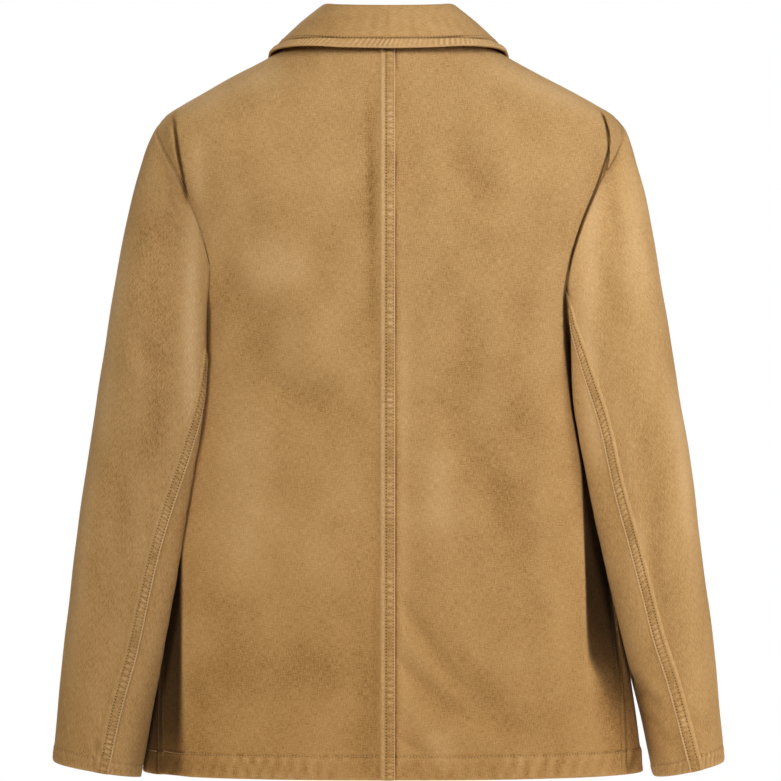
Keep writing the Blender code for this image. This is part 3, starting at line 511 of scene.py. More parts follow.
class Sleeve:
    """One sleeve's form: rings of a table, led into the armhole at the top."""

    def __init__(self, side):
        self.side = side
        self.outer, self.inner, self.back, self.front, self.square = smooth_columns(SLEEVES[side])
        self.seam_x = smooth_table(SLEEVE_SEAMS[side], 1)

    def ring(self, angle, z):
        """Points of the sleeve's section; 0 is outside, 90 behind, 180 inside."""
        c, s = squircle(np.radians(angle), self.square(z))
        centre_x = (self.outer(z) + self.inner(z)) / 2.0
        half_x = (self.outer(z) - self.inner(z)) / 2.0
        centre_y = (self.back(z) + self.front(z)) / 2.0
        half_y = (self.back(z) - self.front(z)) / 2.0
        return stack(self.side * (centre_x + half_x * c), centre_y + half_y * s, z)

    def loop(self, angle):
        """Armhole points for sleeve angles, and the body's normals there."""
        turn = turn_of(angle)
        z = armhole_height(turn)
        behind = np.sin(np.radians(angle)) >= 0.0
        arm = np.where(behind, armhole_back(turn), armhole_front(turn))
        return body_point(arm, z, self.side), body_normal(arm, z, self.side)

    def away(self, angle):
        """Step off the armhole seam: off the panel's edge, off its face underneath."""
        here, normal = self.loop(angle)
        along = unit(self.loop(angle + LOOP_STEP)[0] - self.loop(angle - LOOP_STEP)[0])
        across = unit(np.cross(along, normal))
        centre = np.array((self.side * ARM_CENTRE_X, 0.0, ARM_CENTRE_Z))
        across = np.where(dot(across, centre - here)[..., None] < 0.0, -across, across)
        under = ease((-np.cos(np.radians(angle)) - UNDER_START) / UNDER_SPAN)
        step = mix(SEAM_GAP, UNDERARM_GAP, under)[..., None]
        return unit(mix(across, normal, under[..., None])) * step

    def clear_of_body(self, point, air, soft):
        """Move points outward so that they keep the given air from the body form."""
        x, y, z = point[..., 0], point[..., 1], point[..., 2]
        behind = y >= 0.0
        depth = np.where(behind, body_back(z), body_front(z))
        power = np.where(behind, body_square_back(z), body_square_front(z))
        rest = 1.0 - np.minimum(np.abs(y) / (depth + air), 1.0) ** power
        limit = (body_half(z, self.side) + air) * rest ** (1.0 / power)
        gap = self.side * x - limit
        pushed = limit + 0.5 * (gap + np.sqrt(gap * gap + soft * soft))
        return stack(self.side * pushed, y, z)

    def foot_z(self, angle):
        return CUFF_Z + CUFF_TILT * 0.5 * np.cos(np.radians(angle))

    def point(self, angle, t):
        angle, t = np.broadcast_arrays(angle, t)
        z_top = armhole_height(turn_of(angle))
        z = mix(z_top, self.foot_z(angle), t)
        lead = self.loop(angle)[0] + self.away(angle)
        fade = ease(1.0 - t / CAP_FADE)[..., None]
        spot = self.ring(angle, z) + (lead - self.ring(angle, z_top)) * fade
        settle = ease(t / CLEAR_SHARE)
        clear = self.clear_of_body(spot, SLEEVE_CLEARANCE[self.side] * settle,
                                   SLEEVE_SOFTNESS * settle)
        return np.where(settle[..., None] <= 0.0, spot, clear)

    def normal(self, angle, t):
        angle, t = np.broadcast_arrays(angle, t)
        around = self.point(angle + RING_STEP, t) - self.point(angle - RING_STEP, t)
        above = np.maximum(t - LENGTH_STEP, 0.0)
        along = self.point(angle, t + LENGTH_STEP) - self.point(angle, above)
        return unit(np.cross(around, along)) * -self.side

    def seam_angle(self, t):
        """Angles at which the sleeve lies at the felled seam's place, by halving."""
        reached = np.maximum(t, SEAM_LEAD)
        low = np.full(np.shape(t), SEAM_RANGE[0])
        high = np.full(np.shape(t), SEAM_RANGE[1])
        for _ in range(SEAM_HALVINGS):
            middle = (low + high) / 2.0
            here = self.point(middle, reached)
            outside = np.abs(here[..., 0]) > self.seam_x(here[..., 2])
            low = np.where(outside, middle, low)
            high = np.where(outside, high, middle)
        return mix(SEAM_START, low, ease(t / SEAM_LEAD))


# ---------------------------------------------------------------- folds placed one by one
# Each row is one soft trough (negative depth) or ridge: from one end to the other, its
# sideways bow, half width at both ends, depth, and how much steeper one side is.
BACK_CREASES = (
    # x1, z1, x2, z2, bow, width1, width2, depth, lean
    (   -50,  -88.2, -108.3, -190.1,   6,  16, 20, -3.5,   0),
    ( -71.4, -258.1,  -67.5, -408.5,  -6,  18, 22, -3.2,   0),
    ( -59.7, -369.7, -151.9,   -525,   8,  14, 22, -3.3,   0),
    ( -13.1, -556.1,  -79.1,   -661,   3,   6, 14, -3.5, 0.3),
    ( -59.7, -641.6, -137.4,   -695,   4,  12, 16, -2.3,   0),
    (  -4.4, -614.4,  -79.1, -682.3,   3, 4.5, 13, -2.8, 0.3),
    (  -7.3,   -693,  -42.2, -716.3,   1,   3,  6,   -2, 0.3),
    ( -11.2, -588.2,  -79.1, -672.6,   3,   8, 12,  1.8,   0),
    (  -7.3, -651.3,    -50, -704.7,   2,   7, 10,  1.5,   0),
    (    15,  -63.9,     16, -228.9,   0,   6,  7, -1.4,   0),
    (  12.1,   -525,   11.2, -704.7,   0,   5,  6, -1.8,   0),
    ( 165.5, -235.7,  122.8, -345.4,  -8,  16, 22, -4.3,   0),
    ( 129.6, -335.7,   47.1, -377.5,  10,  14, 18, -2.9,   0),
    (  64.6, -272.6,   68.4, -355.1,   0,  26, 26,  3.5,   0),
    ( 122.8, -408.5,  168.4, -612.4, -12,  34, 40, -1.2,   0),
    (  56.8, -447.4,   68.4, -563.9,   6,  30, 30,  2.8,   0),
    (-162.6, -204.7, -162.6, -350.3,   6,  12, 14,  2.6,   0),
    (-108.3, -272.6, -127.7, -389.1,  10,  22, 24,  2.4,   0),
    (-154.9,   -525, -172.3,   -661,   4,  14, 16,  1.9,   0),
    (-127.7, -486.2, -151.9, -602.7,   4,  12, 14, -1.6,   0),
    ( 148.1,   -127,  134.5, -214.4,  -5,  12, 14, -1.4,   0),
    (  35.4, -210.5,   12.1, -229.9,   0, 3.5,  3,   -1,   0),
    (  37.4, -387.2,   11.2, -402.7,   0, 3.5,  3,   -1,   0),
)
SLEEVE_CREASES = {
    LEFT: (
        # x1, z1, x2, z2, bow, width1, width2, depth, lean
        (221.8,   -125, 206.3, -180.4, -2,   3,  6, -2.5, 0),
        (232.5, -146.4, 177.2, -228.9,  3, 2.6,  4,  1.7, 0),
        (223.8, -180.4, 212.1, -224.1, -2,   9, 12, -3.3, 0),
        (210.2, -224.1, 186.9, -272.6,  2,   8, 10, -1.8, 0),
        (252.9, -301.7, 202.4, -342.5,  4,   9, 12, -1.9, 0),
        (260.7, -321.2, 210.2, -364.9,  4,   9, 12,  1.6, 0),
        (262.6, -389.1, 280.1, -602.7, -4,  14, 16, -2.6, 0),
        (239.3, -369.7, 258.7, -583.3, -4,  10, 12,  1.6, 0),
        (291.7, -437.7, 307.3,   -661,  0,   9, 10,  1.5, 0),
        (287.9, -701.7, 281.1, -724.1,  1, 2.6,  3, -2.1, 0),
        (293.7, -703.7, 287.9,   -725,  1,   3,  3,  1.3, 0),
        (313.1,   -661, 287.9, -701.7,  3,   6,  7, -1.2, 0),
    ),
    RIGHT: (
        (-226.7,   -127, -244.2, -214.4,  4,  7, 12,  1.5, 0),
        (-213.1, -146.4, -226.7, -224.1,  2,  6, 10, -1.4, 0),
        (-201.5, -233.8, -244.2, -301.7,  4,  8, 12, -1.2, 0),
        (-255.8, -340.6, -275.2,   -661,  6, 14, 16, -3.6, 0),
        (-292.7, -389.1, -307.3,   -661,  4,  9, 10,  1.8, 0),
        (-232.5, -389.1, -255.8,   -525,  3,  8,  9,  1.6, 0),
        (-238.3, -637.7, -271.4, -676.5,  3,  4,  7, -2.6, 0),
        (-244.2, -629.9, -279.1, -672.6,  3,  5,  7,  1.6, 0),
        (-251.9, -672.6, -277.2, -707.6,  2,  4,  5, -2.1, 0),
        (-259.7, -701.7,   -285, -711.5, -2,  3,  3, -1.4, 0),
        (-290.8, -682.3,   -318, -695.9, -2,  4,  6, -1.4, 0),
    ),
}

# Troughs and ridges of the front half, on both sides of the centre line.
FRONT_CREASES = (
    # x1, z1, x2, z2, bow, width1, width2, depth, lean
    ( 150, -200,   60, -300, 10, 10, 14, -2.4, 0),
    (-150, -205,  -70, -310, -9, 11, 14,   -2, 0),
    ( 168, -310,   40, -352,  9,  7,  5, -2.2, 0),
    (-162, -318,  -48, -356, -8,  8,  6,   -2, 0),
    ( 172, -340,   50, -372,  8,  8,  6,  1.7, 0),
    (-168, -350,  -52, -385, -8,  8,  6,  1.4, 0),
    ( 150, -430,  130, -690, -8, 16, 24, -3.6, 0),
    (-148, -440, -138, -700,  9, 16, 22, -3.1, 0),
    (  90, -470,   84, -720,  6, 20, 26,  2.9, 0),
    ( -88, -460,  -92, -715, -6, 20, 26,  2.7, 0),
    (  30, -452,   96, -500,  6,  5,  9, -1.4, 0),
    (  28, -552,  104, -620,  6,  5, 10, -1.6, 0),
    ( 176, -150,  150, -250,  6,  9, 12, -2.1, 0),
    (-178, -150, -150, -255, -6,  9, 12, -1.9, 0),
)

# Front half of the sleeves; the elbow's cross folds lie here.
SLEEVE_FRONT_CREASES = {
    LEFT: (
        # x1, z1, x2, z2, bow, width1, width2, depth, lean
        (196, -176, 250, -262, -6,  6,  9, -1.6,   0),
        (188, -230, 252, -300, -7,  6,  9,  1.1,   0),
        (186, -392, 276, -372,  9,  6,  8, -1.9, 0.2),
        (188, -418, 284, -404,  9,  6,  8,  1.4,   0),
        (192, -446, 288, -442,  8,  7,  9, -1.6,   0),
        (200, -486, 296, -476,  8,  9, 10,  0.9,   0),
        (250, -500, 272, -700,  6, 14, 16, -1.3,   0),
    ),
    RIGHT: (
        (-198, -176, -254, -268,  6,  6,  9, -1.5,   0),
        (-190, -236, -256, -306,  7,  6,  9,    1,   0),
        (-190, -400, -280, -380, -9,  6,  8, -1.8, 0.2),
        (-194, -428, -288, -416, -9,  6,  8,  1.3,   0),
        (-200, -456, -292, -452, -8,  7,  9, -1.5,   0),
        (-262, -510, -284, -705, -6, 14, 16, -1.2,   0),
    ),
}

# Slow unevenness of all cloth: wave numbers in radians a millimetre, phase, share.
SWELLS = (
    # across, down, phase, share
    ( 0.052,  0.018, 0.4,  0.3),
    (-0.031,  0.047, 2.1, 0.26),
    ( 0.083, -0.061,   4, 0.17),
    ( 0.019,  0.102, 5.3, 0.15),
    ( 0.131,  0.027, 1.2, 0.12),
)
SWELL = 0.55  # millimetres


# Broad painted light and shade: parts coloured pale (more) or dark (less), laid like the folds.
BACK_PAINTED_SHADING = (
    # x1, z1, x2, z2, bow, width1, width2, amount, lean
    ( 150, -243,   70, -243,  0, 26, 26,   0.7, 0),
    ( 138, -380,  130, -570,  0, 28, 30,   0.7, 0),
    ( 190, -630,   30, -630,  0, 26, 30,  -0.5, 0),
    ( 192, -610,  178, -738,  0, 14, 22,  -0.4, 0),
    (  20,  -60,   14, -310,  0,  6,  6,  -0.7, 0),
    (  22, -570,   20, -738,  0, 11, 11,  -0.4, 0),
    ( 100,  -42,  208,  -90,  4, 13, 13,   0.9, 0),
    ( 188, -110,  186, -178,  0,  9,  8,   0.9, 0),
    ( -85, -120, -125, -262,  0, 20, 24, -0.15, 0),
    (-122, -250, -126, -500,  0, 24, 26, -0.35, 0),
    (-126, -510, -130, -620,  0, 20, 20,  -0.2, 0),
    ( -15, -220,  -15, -738,  0,  6,  6,   0.5, 0),
    ( -46, -410,  -52, -500,  0, 15, 17,   0.9, 0),
    ( -42, -690,  -60, -730,  0, 12, 10,   0.8, 0),
    ( -60, -600, -112, -668,  0,  8, 10,  -0.4, 0),
    ( -95,  -42, -208,  -88, -4, 13, 13,   0.8, 0),
)
SLEEVE_PAINTED_SHADING = {
    LEFT: (
        # x1, z1, x2, z2, bow, width1, width2, amount, lean
        (236, -165, 222, -310, 0, 15, 14, -0.45, 0),
        (222, -290, 234, -440, 0, 14, 14,  -0.5, 0),
        (192, -185, 188, -430, 4,  9,  9,   1.2, 0),
        (258, -190, 286, -430, 0,  9,  9,   0.9, 0),
        (290, -420, 318, -650, 0,  7,  7,   0.8, 0),
    ),
    RIGHT: (
        (-204, -140, -194, -310, 0, 13, 12,  0.8, 0),
        (-192, -290, -204, -440, 0,  9,  9,    1, 0),
        (-238, -140, -250, -300, 0, 14, 14,  0.5, 0),
        (-280, -350, -302, -540, 0,  8,  8,  0.8, 0),
        (-238, -480, -260, -610, 0,  9,  9,  0.9, 0),
        (-240, -640, -258, -738, 0,  9, 10, -1.4, 0),
        (-285, -690, -300, -730, 0,  9,  9, -0.6, 0),
    ),
}


FOLD_RUN_OUT = 0.10  # share of its length by which a fold runs on past its ends
FOLD_FADE = 0.38  # and share over which it dies out there


def crease_field(rows, x, z):
    """Sum of the soft troughs and ridges of a table at places seen along Y."""
    total = np.zeros(np.shape(x))
    for x1, z1, x2, z2, bow, width1, width2, depth, lean in rows:
        run = math.hypot(x2 - x1, z2 - z1)
        ux = (x2 - x1) / run
        uz = (z2 - z1) / run
        along = ((x - x1) * ux + (z - z1) * uz) / run
        t = np.clip(along, 0.0, 1.0)
        across = (z - z1) * ux - (x - x1) * uz - bow * 4.0 * t * (1.0 - t)
        width = mix(width1, width2, t) * (1.0 + lean * np.sign(across))
        start = ease((along + FOLD_RUN_OUT) / FOLD_FADE)
        ends = start * ease((1.0 + FOLD_RUN_OUT - along) / FOLD_FADE)
        total += depth * ends * bell(across / width)
    return total


def swell(x, z, shift):
    """Slow unevenness, one unit high at most."""
    total = np.zeros(np.shape(x))
    for across, down, phase, share in SWELLS:
        total += share * np.sin(across * x + down * z + phase + shift)
    return total


def ripple(run, pitch, shift):
    """Uneven little waves along a seam, between nought and one."""
    wander = 0.9 * np.sin(run / (3.1 * pitch) + shift) + 0.6 * np.sin(run / (7.7 * pitch))
    wave = 0.5 + 0.5 * np.sin(math.tau * run / pitch + wander * 3.1 + shift)
    strength = 0.55 + 0.30 * np.sin(run / (2.3 * pitch) + 2.0 * shift)
    return wave * (strength + 0.15 * np.sin(run / (0.9 * pitch) + shift))


# ---------------------------------------------------------------- hems and edges
HEM_DEPTH = 22.5  # the hem's stitching lies this far above its edge
CUFF_DEPTH = 14.5
HEM_PITCH = 13.5  # spacing of the roped puckers in the turned-up hem
CUFF_PITCH = 7.5  # and in the cuffs
GROOVE = 0.85  # depth of a stitched line
GROOVE_WIDTH = 1.3  # half its width
HEM_GROOVE = 0.4
HEM_PLY = 0.6  # the turned-up layer stands this far out
HEM_ROPE = 1.5  # height of its puckers
HEM_SLANT = 0.30  # how far they lean for each millimetre of height
RIPPLE_MEAN = 0.45  # mean height of a ripple
EDGE_DROP = 0.9  # how far a turned edge rounds off
EDGE_CURL = 1.4  # a turned edge rounds off over this width


def turned_hem(run, above, pitch, shift):
    """Relief of a turned-up, stitched hem: run along it, height above its edge."""
    depth = CUFF_DEPTH if pitch == CUFF_PITCH else HEM_DEPTH
    inside = ease((depth + 1.5 - above) / 3.0)
    rope = ripple(run + HEM_SLANT * above, pitch, shift) - RIPPLE_MEAN
    fade = ease(above / 3.0) * ease((depth + 5.0 - above) / 7.0)
    groove = -HEM_GROOVE * bell((above - depth) / GROOVE_WIDTH)
    curl = -EDGE_DROP * bell(above / EDGE_CURL)
    return inside * HEM_PLY + HEM_ROPE * rope * fade + groove + curl


# ---------------------------------------------------------------- wear and painted shading beside edges and seams
# Lines of wear and painted shading beside an edge or a seam: distance from it, half width, amount.
HEM_LINE = (0.0, 1.6, 0.8)
BAND_HEM_LINE = (0.0, 1.6, 0.6)
BACK_SEAM_LINE = (0.0, 1.4, -0.3)
FRONT_SEAM_LINE = (0.0, 1.4, -0.5)
SLEEVE_HEAD_LINE = (0.0, 1.6, -0.3)
# Painted highlight and shade of the left armhole seam's ridge: a pale line between dark ones.
ARMHOLE_RIDGE_SHADING_LINES = ((2.2, 1.0, 1.0), (4.4, 1.0, -1.2), (0.0, 0.9, -0.8))
SLEEVE_EDGE_SHADOW_LINE = (0.0, 1.8, -1.6)  # painted shadow where the left sleeve's edge lies on the back
FOLDED_LINE = (0.8, 1.3, 1.6)  # a band's folded edge, pale: wear and painted highlight
STITCHED_LINE = (0.0, 0.8, -0.9)  # its rows of stitches
RIPPLE_LINE = (0.0, 3.2, 1.9)  # and the ripples between them, pale on crests and dark in troughs: wear and painted shading
BAND_SHADOW_LINE = (-1.0, 0.9, -1.1)  # painted shadow on the right back, at the centre band's folded edge
BAND_SLOPE_HIGHLIGHT_LINE = (6.2, 1.8, 0.8)  # painted highlight on the band, where it falls to its soft edge
COLLAR_EDGE_LINE = (0.0, 1.3, 1.1)
COLLAR_ROW_LINE = (10.5, 0.9, -0.9)
ARMHOLE_RIDGE_SHADING_TURNS = (14.0, 82.0)  # the left armhole seam's painted highlight and shade show between these turns


def worn_line(distance, place, width, amount):
    return amount * bell((distance - place) / width)


# ---------------------------------------------------------------- felled bands
BAND_RISE = 0.35  # a band's ground lies this far out from the cloth
FOLDED_STEP = 0.9  # width of the step at the folded edge
FOLDED_REACH = 0.5  # and of its foot
ROW_FADE = 1.6  # ripples die out over this distance to a row
STITCHED_WIDTH = 0.9  # half width of the groove along a row of stitches
SOFT_DROP = 1.1  # the soft edge runs into the cloth by this much
SOFT_REACH = 1.6
BAND_PUFF = 0.25  # swell between the rows


@dataclass
class FelledBand:
    """Profile and wear across a felled seam's band, from its folded to its soft edge."""

    folded: float
    soft: float
    rows: tuple  # places of the two rows of stitches
    height: float  # of the folded layer
    slope: tuple  # share, start and reach of its fall towards the soft edge
    puff_width: float
    row_depth: float
    tuck: float  # depth of the folded edge's foot
    pitch: float  # spacing of the ripples between the rows
    ground: float  # wear of the whole band

    def profile(self, x):
        share, start, reach = self.slope
        flat = self.height * ease((x - self.folded) / FOLDED_STEP)
        flat = flat * (1.0 - share * ease((x - start) / reach))
        puff = BAND_PUFF * bell((x - 0.5 * sum(self.rows)) / self.puff_width)
        stitched = sum(bell((x - row) / STITCHED_WIDTH) for row in self.rows)
        soft_foot = -SOFT_DROP * ease((x - self.soft + SOFT_REACH) / SOFT_REACH)
        folded_foot = self.tuck * (1.0 - ease((x - self.folded) / FOLDED_REACH))
        return BAND_RISE + flat + puff - self.row_depth * stitched + soft_foot - folded_foot

    def between(self, x):
        """Share by which a place lies between the two rows."""
        return fade_in(x, self.rows[0], ROW_FADE) * fade_out(x, self.rows[1], ROW_FADE)

    def wear(self, x, waves):
        """Pale folded edge and ripples, deep rows of stitches: wear and painted shading."""
        stitched = sum(worn_line(x - row, *STITCHED_LINE) for row in self.rows)
        rippled = waves * worn_line(x - 0.5 * sum(self.rows), *RIPPLE_LINE)
        return self.ground + worn_line(x - self.folded, *FOLDED_LINE) + stitched + rippled

    def columns(self, *inner):
        """Places of the grid's columns across the band."""
        step = (self.folded, self.folded + 0.25, self.folded + FOLDED_STEP)
        return np.array((*step, *inner, self.soft))


BACK_BAND = FelledBand(
    folded=-6.3, soft=8.6, rows=(-4.7, 2.4), height=1.8, slope=(0.75, 6.2, 2.2),
    puff_width=2.4, row_depth=0.80, tuck=0.7, pitch=6.4, ground=0.35)
SLEEVE_BAND = FelledBand(
    folded=-10.6, soft=4.4, rows=(-8.0, -0.9), height=1.6, slope=(0.7, 0.4, 3.0),
    puff_width=2.6, row_depth=0.7, tuck=0.6, pitch=6.1, ground=0.3)
BACK_BAND_SHIFT = 0.6  # phase of the ripples
SLEEVE_BAND_SHIFT = 0.8
BACK_RIPPLE = 1.5  # height of the ripples between the rows
SIDE_RIPPLE = 0.7  # and beside them
SLEEVE_RIPPLE = 1.2


# ---------------------------------------------------------------- the backs' surface
ARM_DIP = 0.9  # the panel sinks this far at the armhole seam
ARM_DIP_WIDTH = 2.0
SEAM_DIP = 0.6  # and at its other seams
ARM_ROWS = (2.2, 8.4)  # stitches beside the armhole seam
SIDE_ROWS = (2.0, 8.2)  # beside the side seam
SHOULDER_ROWS = (2.0,)
# The puff that brings the back's edge up beside the sleeve's head: height, left and right.
ARM_PUFF = (
    # z, left, right
    ( -88,   0,   0),
    (-110,   0, 1.5),
    (-150, 0.4, 3.5),
    (-200,   1,   4),
    (-250,   1, 3.5),
    (-285, 0.6,   2),
    (-305,   0,   0),
)
PUFF_REACH = 17.0  # the puff dies out over this distance from the seam
# Outer edge of the drape folds that stand beside the sleeves. From its crest the cloth
# drops away (drop) over a fall, stays low over a hold and comes back over a rise.
# The dark column is the share of painted shade in the low part behind the crest.
FOLD_EDGES = {
    LEFT: (
        # z, x, lip, drop, fall, hold, rise, dark
        ( -84,   211,   0,   0, 1.7, 0.8,   3,    0),
        ( -92, 209.5, 0.8,   3, 1.7, 0.8,   3,  0.5),
        (-125,   204, 1.2,   5, 1.7,   1, 3.5,  0.7),
        (-150, 199.5,   1, 4.5, 1.7, 0.8, 3.5,  0.8),
        (-168, 196.5, 0.4, 1.5, 1.8, 0.8, 3.5, 0.55),
        (-182,   196,   0,   0,   3,   1,   4,    0),
        (-495,   203,   0,   0,   6,  18,  20,    0),
        (-535, 201.5,   1,   6,   5,  18,  20,  0.9),
        (-600,   202, 1.6,  12,   4,  20,  24,    1),
        (-680,   200,   1,  11,   8,  20,  24,  0.9),
        (-722,   194, 0.5,   8,  18,  16,  20, 0.65),
        (-745,   189, 0.2,   5,  24,  14,  20, 0.55),
    ),
    RIGHT: (
        ( -80,   206,   0,   0, 1.7, 0.5, 2.5,    0),
        ( -90, 210.5,   1,   5, 1.7, 0.5, 2.5,  0.7),
        (-117,   215, 1.4, 6.5, 1.6, 0.2, 2.2,  0.8),
        (-145, 207.5, 1.4, 6.5, 1.6, 0.3, 2.6,  0.8),
        (-190, 189.5, 1.2, 6.5, 1.6, 0.4,   3,  0.8),
        (-239, 174.5, 1.2, 6.5, 1.6, 0.4,   3,  0.8),
        (-273,   170,   1,   7, 1.8, 0.8, 3.5,  0.8),
        (-307,   171, 0.8,   8, 2.2,   3,   5,  0.8),
        (-370, 177.5, 0.8,  10,   3,   8,   8,  0.8),
        (-447,   189, 1.4,  13,   3,  16,  16, 0.75),
        (-496,   191, 1.8,  17,   3,  20,  20,  0.9),
        (-564, 192.5,   2,  19, 3.5,  22,  22,    1),
        (-615, 193.5, 1.6,  16,   6,  24,  24, 0.85),
        (-645,   196, 0.8,   9,  19,  24,  24, 0.62),
        (-680,   198, 0.4,   3,  28,  24,  26, 0.36),
        (-710,   201, 0.2,   1,  30,  20,  24, 0.28),
        (-745,   203,   0,   0,  30,  18,  24, 0.18),
    ),
}
LIP_WIDTH = 5.0  # the lip dies out over this distance towards the centre
arm_puffs = side_tables(ARM_PUFF)
fold_edges = {side: smooth_columns(rows) for side, rows in FOLD_EDGES.items()}


def fold_fall(x, z, side):
    """Lip of a drape fold's edge, the fall of the cloth behind it, and how much painted shade lies
    there.
    """
    edge, lip, drop, fall, hold, rise, dark = (column(z) for column in fold_edges[side])
    past = side * x - edge
    inside = ease(past / fall) * (1.0 - ease((past - fall - hold) / rise))
    crest = lip * bell(np.minimum(past, 0.0) / LIP_WIDTH) * (past < fall)
    return crest, drop * inside, dark * inside


def arc_pace(angle, z, side):
    """Millimetres to a degree along the body's section."""
    return length_of(body_plain(angle + 0.5, z, side) - body_plain(angle - 0.5, z, side))


def arc_to_border(arm_table, angle, z, side):
    """Distance along the section to the panel's shoulder, armhole or side seam."""
    border = np.where(z >= UNDERARM_Z, arm_table(armhole_turn(z)), side_seam(z))
    border = np.where(z >= SHOULDER_Z, SHOULDER_ANGLE, border)
    return np.abs(border - angle) * arc_pace(angle, z, side)


def seam_dip(distance, z):
    """How far a panel sinks at its seams."""
    at_arm = ease((z - UNDERARM_Z) / 12.0 + 0.5) * ease((SHOULDER_Z + 6.0 - z) / 12.0 + 0.5)
    depth = mix(SEAM_DIP, ARM_DIP, at_arm)
    return -depth * bell(distance / ARM_DIP_WIDTH)


FOLD_CALM = 16.0  # the back's folds die out over this distance to a seam
SWELL_CALM = 12.0
PUFF_START = 3.0
BAND_FOOT = 0.9  # the right back sinks this far at the centre band's folded edge


def back_folds(x, z):
    """The back's folds, which die out at the centre band."""
    return crease_field(BACK_CREASES, x, z) * ease((np.abs(x - 1.0) - 5.0) / 5.0)


def back_hem(x, z, side):
    return turned_hem(x + side * 3.0, z - HEM_Z, HEM_PITCH, 1.0 + side)


def front_hem(x, z, side):
    return turned_hem(x, z - HEM_Z, HEM_PITCH, 3.0 + side)


def back_relief(angle, z, side):
    plain = body_plain(angle, z, side)
    x = plain[..., 0]
    gap = arc_to_border(armhole_back, angle, z, side)
    puff = arm_puffs[side](z) * ease(gap / PUFF_START)
    puff = puff * (1.0 - fade_in(gap, PUFF_START, PUFF_REACH))
    centre = ease((np.abs(x) - 4.0) / 10.0)
    relief = back_folds(x, z) * ease(gap / FOLD_CALM)
    relief += SWELL * swell(x, z, 0.0) * centre * ease(gap / SWELL_CALM)
    relief += seam_dip(gap, z) + puff
    relief += back_hem(x, z, side)
    relief -= BAND_FOOT * bell((x - BACK_BAND.folded + 1.0) / 1.3)
    return relief


def back_surface(angle, z, side):
    relief = back_relief(angle, z, side)
    surface = body_point(angle, z, side) + body_normal(angle, z, side) * relief[..., None]
    lip, drop, _ = fold_fall(body_plain(angle, z, side)[..., 0], z, side)
    at_side = ease((UNDERARM_Z + 14.0 - z) / 14.0)
    gap = arc_to_border(armhole_back, angle, z, side)
    surface[..., 1] += lip - drop * mix(1.0, ease(gap / 8.0), at_side)
    return surface


def band_surface(x, z):
    """Outer face of the felled band over the centre back seam."""
    angle = back_angle_at(x, z, LEFT)
    waves = ripple(-z, BACK_BAND.pitch, BACK_BAND_SHIFT) - 0.5
    beside = fade_in(x, BACK_BAND.rows[1], 1.2) * fade_out(x, BACK_BAND.soft, 2.5)
    height = BACK_RIPPLE * BACK_BAND.between(x) + SIDE_RIPPLE * beside
    lift = BACK_BAND.profile(x) + waves * height
    lift = lift + back_hem(x, z, LEFT) * 0.4
    return body_point(angle, z, LEFT) + body_normal(angle, z, LEFT) * lift[..., None]


# ---------------------------------------------------------------- the fronts' surface
EDGE_ROW = 7.0  # topstitching beside a front edge, lapel or collar end


def front_relief(angle, z, side):
    plain = body_plain(angle, z, side)
    x = plain[..., 0]
    gap = arc_to_border(armhole_front, angle, z, side)
    edge = side * x - front_edge_x(z)
    relief = crease_field(FRONT_CREASES, x, z) * fade_in(edge, 8.0, 20.0) * ease(gap / 10.0)
    relief += SWELL * swell(x, z, 2.0) * ease(gap / SWELL_CALM) * fade_in(edge, 4.0, 12.0)
    relief += seam_dip(gap, z)
    relief += front_hem(x, z, side)
    below = fade_out(z, BREAK_Z, 20.0)
    relief += below * (-GROOVE * bell((edge - EDGE_ROW) / GROOVE_WIDTH)
                       - 0.8 * bell(edge / EDGE_CURL)
                       + 0.3 * ripple(z, 9.0, side) * ease(edge / 3.0)
                       * fade_out(edge, EDGE_ROW, 3.0))
    return relief


def front_surface(angle, z, side):
    relief = front_relief(angle, z, side)
    return front_point(angle, z, side) + front_normal(angle, z, side) * relief[..., None]


# ---------------------------------------------------------------- the sleeves' surface
SLEEVE_LENGTH = 620.0
TUCK_LENGTH = 1.5  # the sleeve's raw edge runs under the panel's edge
TUCK_IN = 2.6
TUCK_DOWN = 1.4
BACK_FADE = 0.4  # sine of a sleeve's angle at which it faces fully backwards
SLEEVE_SWELL = 1.2  # the sleeves' unevenness, as a share of the panels'
SWELL_SHIFT = 40.0  # and how far it is shifted from the outside to the back
CUFF_RUN = 0.9  # millimetres round the cuff for each degree
CUFF_SHARE = 0.75  # the cuffs' puckers are this much lower than the hem's
CREVICE_REACH = 9.0  # the drape folds' valley runs on this far down the sleeve
# Puff of the sleeve's head beside the seam, by sleeve angle: left and right.
HEAD_PUFF = (
    # angle, left, right
    (  0, 0.6, 0.6),
    ( 45, 0.6,   1),
    ( 75,   1, 2.6),
    (100, 1.6, 3.6),
    (125, 1.4,   3),
    (150, 0.4,   1),
    (180,   0,   0),
)
head_puffs = side_tables(HEAD_PUFF)
FRONT_PUFF = 0.4  # share of it in front of the arm
SLEEVE_LIP = 1.3  # the left sleeve's edge stands proud of the panel it lies on
LIP_PLACE = 3.2
LIP_TURN = 78.0  # from this turn of the armhole downwards


def faces_back(angle):
    """Share by which a sleeve's place faces backwards."""
    return ease(np.sin(np.radians(angle)) / BACK_FADE)


def near_crevice(head):
    """Share by which a place below the sleeve's head lies in the drape fold's valley."""
    return 1.0 - fade_in(head, CREVICE_REACH, CREVICE_REACH)


def over_panel(turn, side):
    """Share by which the left sleeve's edge lies over the back panel."""
    return fade_in(turn, LIP_TURN, 20.0) * (side > 0)


